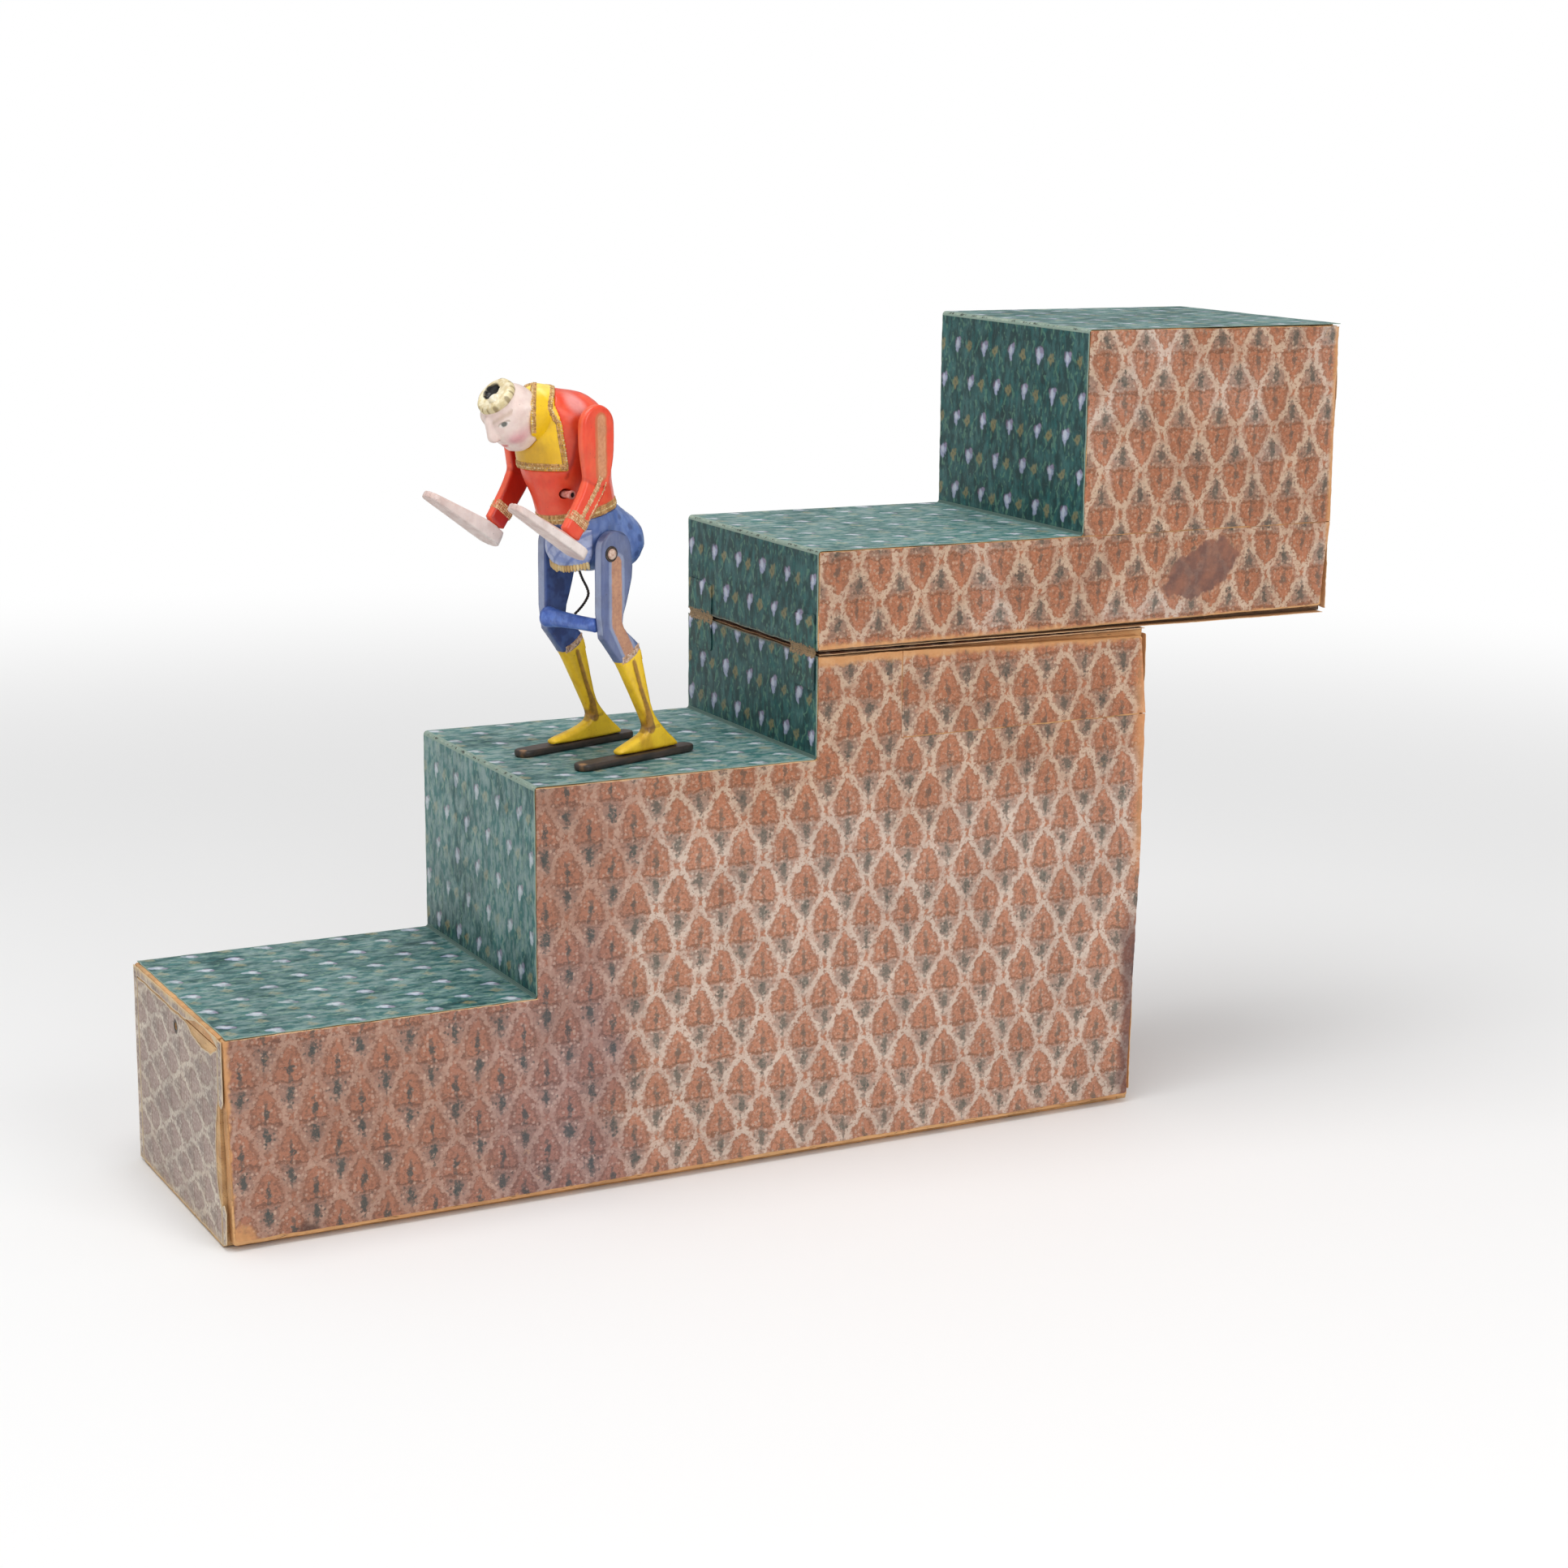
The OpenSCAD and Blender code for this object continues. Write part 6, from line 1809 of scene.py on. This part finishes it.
apronSkin = skinOf(apron)
rays = []
for a in np.linspace(radians(-118), radians(118), 60):
    target = Vector((-13.5, 0, 56.0 + 0.9 * (abs(a) / radians(118)) ** 3 * 2.4))
    rays.append((target + Vector((-cos(a), sin(a), 0)) * 30, target))
fringe = strikes(apronSkin, rays)
beadRun("apronFringe", [[(p - Vector((0, 0, 0.4)), Vector((n.x, n.y, 0))) for p, n in fringe]], "torso", creamBraid,
    0.95, 1.1, 2.7, 1.2, 0.25)
beadRun("apronBraid", [[(p + Vector((0, 0, 1.1)), Vector((n.x, n.y, 0))) for p, n in fringe]], "torso", goldBraid,
    0.7, 0.8, 0.8, 0.8, 0.25)

# arms, cuffs and hands
armShape = dict(half=1.5, middle=15.8, grooves=(-1.4, 0.1, 1.6), handMiddle=18.0)
palmPlace = np.array([-25.0, 0, 60.5])
wristPlace = np.array([-27.43, 0, 67.07])


def strapOutline(path, radii, caps=12):
    path = [Vector(p) for p in path]
    left, right = [], []
    for i, p in enumerate(path):
        along = (path[min(i + 1, len(path) - 1)] - path[max(i - 1, 0)]).normalized()
        side = Vector((-along[1], along[0]))
        left.append(p + side * radii[i])
        right.append(p - side * radii[i])
    along = (path[1] - path[0]).normalized()
    arc = []
    for k in range(1, caps):
        a = pi * k / caps
        side = Vector((-along[1], along[0]))
        arc.append(path[0] - side * radii[0] * cos(a) - along * radii[0] * sin(a))
    return arc + left + right[::-1]


armPath = [(-17.0, 96.6), (-17.0, 92.8), (-16.9, 88.8), (-16.9, 84.8), (-17.5, 81.0), (-20.2, 76.6), (-22.9, 73.0),
    (-25.4, 69.7), (-27.41, 67.09)]
elbowLine = [(-23.4, 83.4), (-19.0, 80.8), (-13.4, 79.4)]
armRadii = [5.95, 5.95, 5.7, 5.0, 4.3, 3.7, 3.45, 3.35, 3.3]
# the deeper red of the inner faces is painted shade; the paler edges are a painted highlight
sleevePaint = paintMaterial("sleevePaint", [("inner", "deepRed", 0.92, 0.35), ("rim", (246, 108, 78), 0.55, 0.4),
    ("stripeEdge", (186, 116, 66), 0.7, 0.35), ("stripe", speckled((212, 146, 106), (198, 128, 86), 0.9, 0.3, 0.7),
    0.95, 0.3), ("crease", (164, 30, 14), 0.5, 0.4)], speckled("red", (240, 88, 50), 3.6, 0.35, 0.75, (1, 1, 0.4)),
    chips=0.5, age=0.25, gloss=0.3, coat=0.3)
# the greyer underside and the grey finger grooves are painted shade; the paler side edges are a painted highlight
handPaint = paintMaterial("handPaint", [("groove", (168, 140, 134), 0.4, 0.3), ("rim", (244, 236, 232), 0.6, 0.5),
    ("grime", (176, 150, 146), 0.4, 0.8)], speckled((222, 200, 194), (206, 178, 172), 3.0, 0.35, 0.7), chips=0.3,
    age=0.3, gloss=0.34)


sleeveBraid = makeBraid("sleeveBraid", (206, 158, 112), (222, 184, 142), (176, 124, 78), 0.25)


def makeArm(side, name, node, handNode):
    middle = side * armShape["middle"]
    made = carvedBoard(name, softened(strapOutline(armPath, armRadii), 1), middle, armShape["half"], sleevePaint,
        1.15, step=0.8, relief=lambda p, e: -0.22 * exp(-(lineDistance(np.array([p]), elbowLine)[0] / 0.7) ** 2)
        + 0.06 * wander(p, 3.0, 1.5), seed=8)
    # inner faces darker with painted shade, edges paler with a painted highlight
    mark(made, inner=lambda o: o[:, 1] * side - (armShape["middle"] - 1.1),
        rim=lambda o: np.abs(o[:, 1] - middle) - 1.0,
        stripeEdge=lambda o: fromLine(o, [(-16.5, 98.4), (-16.3, 83.5)]) - 2.1 + outsideOf(o[:, 1] * side > 16.4),
        stripe=lambda o: fromLine(o, [(-16.3, 98.4), (-16.1, 83.5)]) - 1.45 + outsideOf(o[:, 1] * side > 16.4),
        # the elbow crease is darkened with painted shade
        crease=lambda o: fromLine(o, elbowLine) - 0.35)
    give(made, "arms", node)
    outside = side * (armShape["middle"] + armShape["half"] - 0.02)
    teeth = []
    for lane in (-0.6, -0.1, 0.4, 2.4):  # braid down the forearm, three rows side by side and one along its back edge
        path = densified([Vector((-16.6, 82.4)), Vector((-17.6, 80.2)), Vector((-21.2, 75.2)), Vector((-24.2, 71.2))],
            0.5, closed=False)
        across = Vector((0.8, -0.6)) * lane
        teeth.append([((p[0] + across[0] + 0.16 * sin(i * 1.9), outside, p[1] + across[1]), (0, side, 0))
            for i, p in enumerate(path)])
    beadRun(name + "Braid", teeth, "arms", sleeveBraid, 0.7, 0.8, 0.62, 0.42, 0.3)
    cuff = []
    for lane in (-0.1, 0.45, 1.0, 1.55, 2.1):  # cords right round the wrist
        centre = Vector((-24.75, 70.4)) + Vector((0.625, 0.781)) * lane
        acrossDir = Vector((0.781, -0.625))
        loop = []
        for k in range(49):
            a = 2 * pi * k / 48
            w = 3.35 * copysign(abs(cos(a)) ** 0.35, cos(a))
            h = 1.55 * copysign(abs(sin(a)) ** 0.5, sin(a))
            n = Vector((acrossDir[0] * cos(a), sin(a), acrossDir[1] * cos(a)))
            loop.append(((centre[0] + acrossDir[0] * w, middle + h, centre[1] + acrossDir[1] * w), n))
        cuff.append(loop)
    beadRun(name + "Cuff", cuff, "arms", sleeveBraid, 0.66, 0.78, 0.66, 0.5, 0.24)
    hand = carved(name.replace("arm", "hand"), [handNode], 0.26, 5, handPaint)

    def reach(own):  # along the fingers
        return (own - palmPlace) @ np.array([-0.836, 0, 0.549])

    def across(own):
        return own[:, 1] * side - armShape["handMiddle"]

    own = ownPoints(hand)
    cuts = sum(bell(across(own), g, 0.28) for g in armShape["grooves"])
    swell(hand, -0.12 * cuts * np.clip((reach(own) - 17.0) / 3.0, 0, 1))
    # grime marks the underside with painted shade, groove the grooves with painted shade, rim the side edges with a
    # painted highlight
    mark(hand, groove=lambda q: np.min([np.abs(across(q) - g) for g in armShape["grooves"]], axis=0) - 0.1
        + outsideOf(reach(q) >= 17.5), rim=lambda q: np.abs(np.abs(across(q)) - 3.6) - 0.5,
        grime=lambda q: (q - wristPlace) @ np.array([0.549, 0, 0.836]) + 5.4)
    give(hand, "arms", handNode)


makeArm(-1, "armNear", "arm_near", "hand_near")
makeArm(1, "armFar", "arm_far", "hand_far")

# what the body hides: the shoulder pin, the glass tube, its corks and the quicksilver
def makeHidden():
    glass, tree, shader = newMaterial("tubeGlass")
    finishMaterial(tree, shader, tone(226, 238, 236), (0.04 + cloud(onFigure(tree), 2.0) * 0.05).clip(),
        cloud(onFigure(tree), 3.0), 0.03, Transmission_Weight=1.0, IOR=1.48)
    silver, tree, shader = newMaterial("quicksilver")
    finishMaterial(tree, shader, mixColour(cloud(onFigure(tree), 2.0), tone(206, 208, 212), tone(176, 178, 184)),
        (0.08 + cloud(onFigure(tree), 1.5) * 0.08).clip(), cloud(onFigure(tree), 2.0), 0.05, Metallic=1.0)
    cork = paintMaterial("cork", [], speckled((186, 140, 92), (120, 80, 48), 0.7, 0.45, 0.6), chips=0.4, age=0.6,
        gloss=0.7, coat=0.0, under=(90, 58, 34))
    for node, material in (("shoulder_pin", boneMaterial), ("quicksilver_tube", glass), ("quicksilver", silver),
            ("tube_corks", cork)):
        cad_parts[node].data.materials.clear()
        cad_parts[node].data.materials.append(material)


makeHidden()
print("acrobat is ready")


# table and light
def seenBy(tree, *kinds):  # 1 for the given kinds of ray
    path = addNode(tree, "LightPath")
    first, *others = [Wire(tree, path.outputs[f"Is {kind} Ray"]) for kind in kinds]
    for other in others:
        first = first.most(other)
    return first


def makeStage(setup):
    made, tree, shader = newMaterial("table")
    place = placeIn(tree)
    x, y, _ = parts(place)
    far = ramp((x * x + y * y).root(), 420.0, 1100.0)
    finishMaterial(tree, shader, (*[setup["floorTone"]] * 3, 1), 0.6, Specular_IOR_Level=0.2)
    glow = addNode(tree, "Emission", {"Color": (1, 1, 1, 1), "Strength": 1.0})
    mix = addNode(tree, "MixShader", {0: far * seenBy(tree, "Camera", "Glossy", "Transmission"),
        1: shader.outputs[0], 2: glow.outputs[0]})
    plug(tree, tree.nodes["Material Output"].inputs[0], mix.outputs[0])
    floor = makeObject("floor", [(-6000, -6000, 0), (6000, -6000, 0), (6000, 6000, 0), (-6000, 6000, 0)],
        [(0, 1, 2, 3)], made, smooth=False, recalculate=False)
    world = bpy.data.worlds.new("room")
    world.use_nodes = True
    bpy.context.scene.world = world
    tree = world.node_tree
    tree.nodes.clear()
    dim, white = (addNode(tree, "Background", {"Color": (1, 1, 1, 1), "Strength": strength}).outputs[0]
        for strength in (setup["sky"], 1.0))
    mix = addNode(tree, "MixShader", {0: seenBy(tree, "Camera", "Transmission"), 1: dim, 2: white})
    addNode(tree, "OutputWorld", {0: mix.outputs[0]})
    makeLamp("lampTop", (-0.25, -0.1, 1.35), (0.02, 0, 0.1), 1.0, setup["topPower"])
    makeLamp("lampFront", (0.35, -1.3, 0.75), (0.03, 0, 0.12), 0.9, setup["frontPower"])
    makeLamp("lampLeft", (-1.3, -0.3, 0.6), (0, 0, 0.12), 0.9, setup["leftPower"])


makeCamera(cameraSetup)
makeStage(lampSetup)
bpy.context.scene.view_settings.view_transform = "Standard"
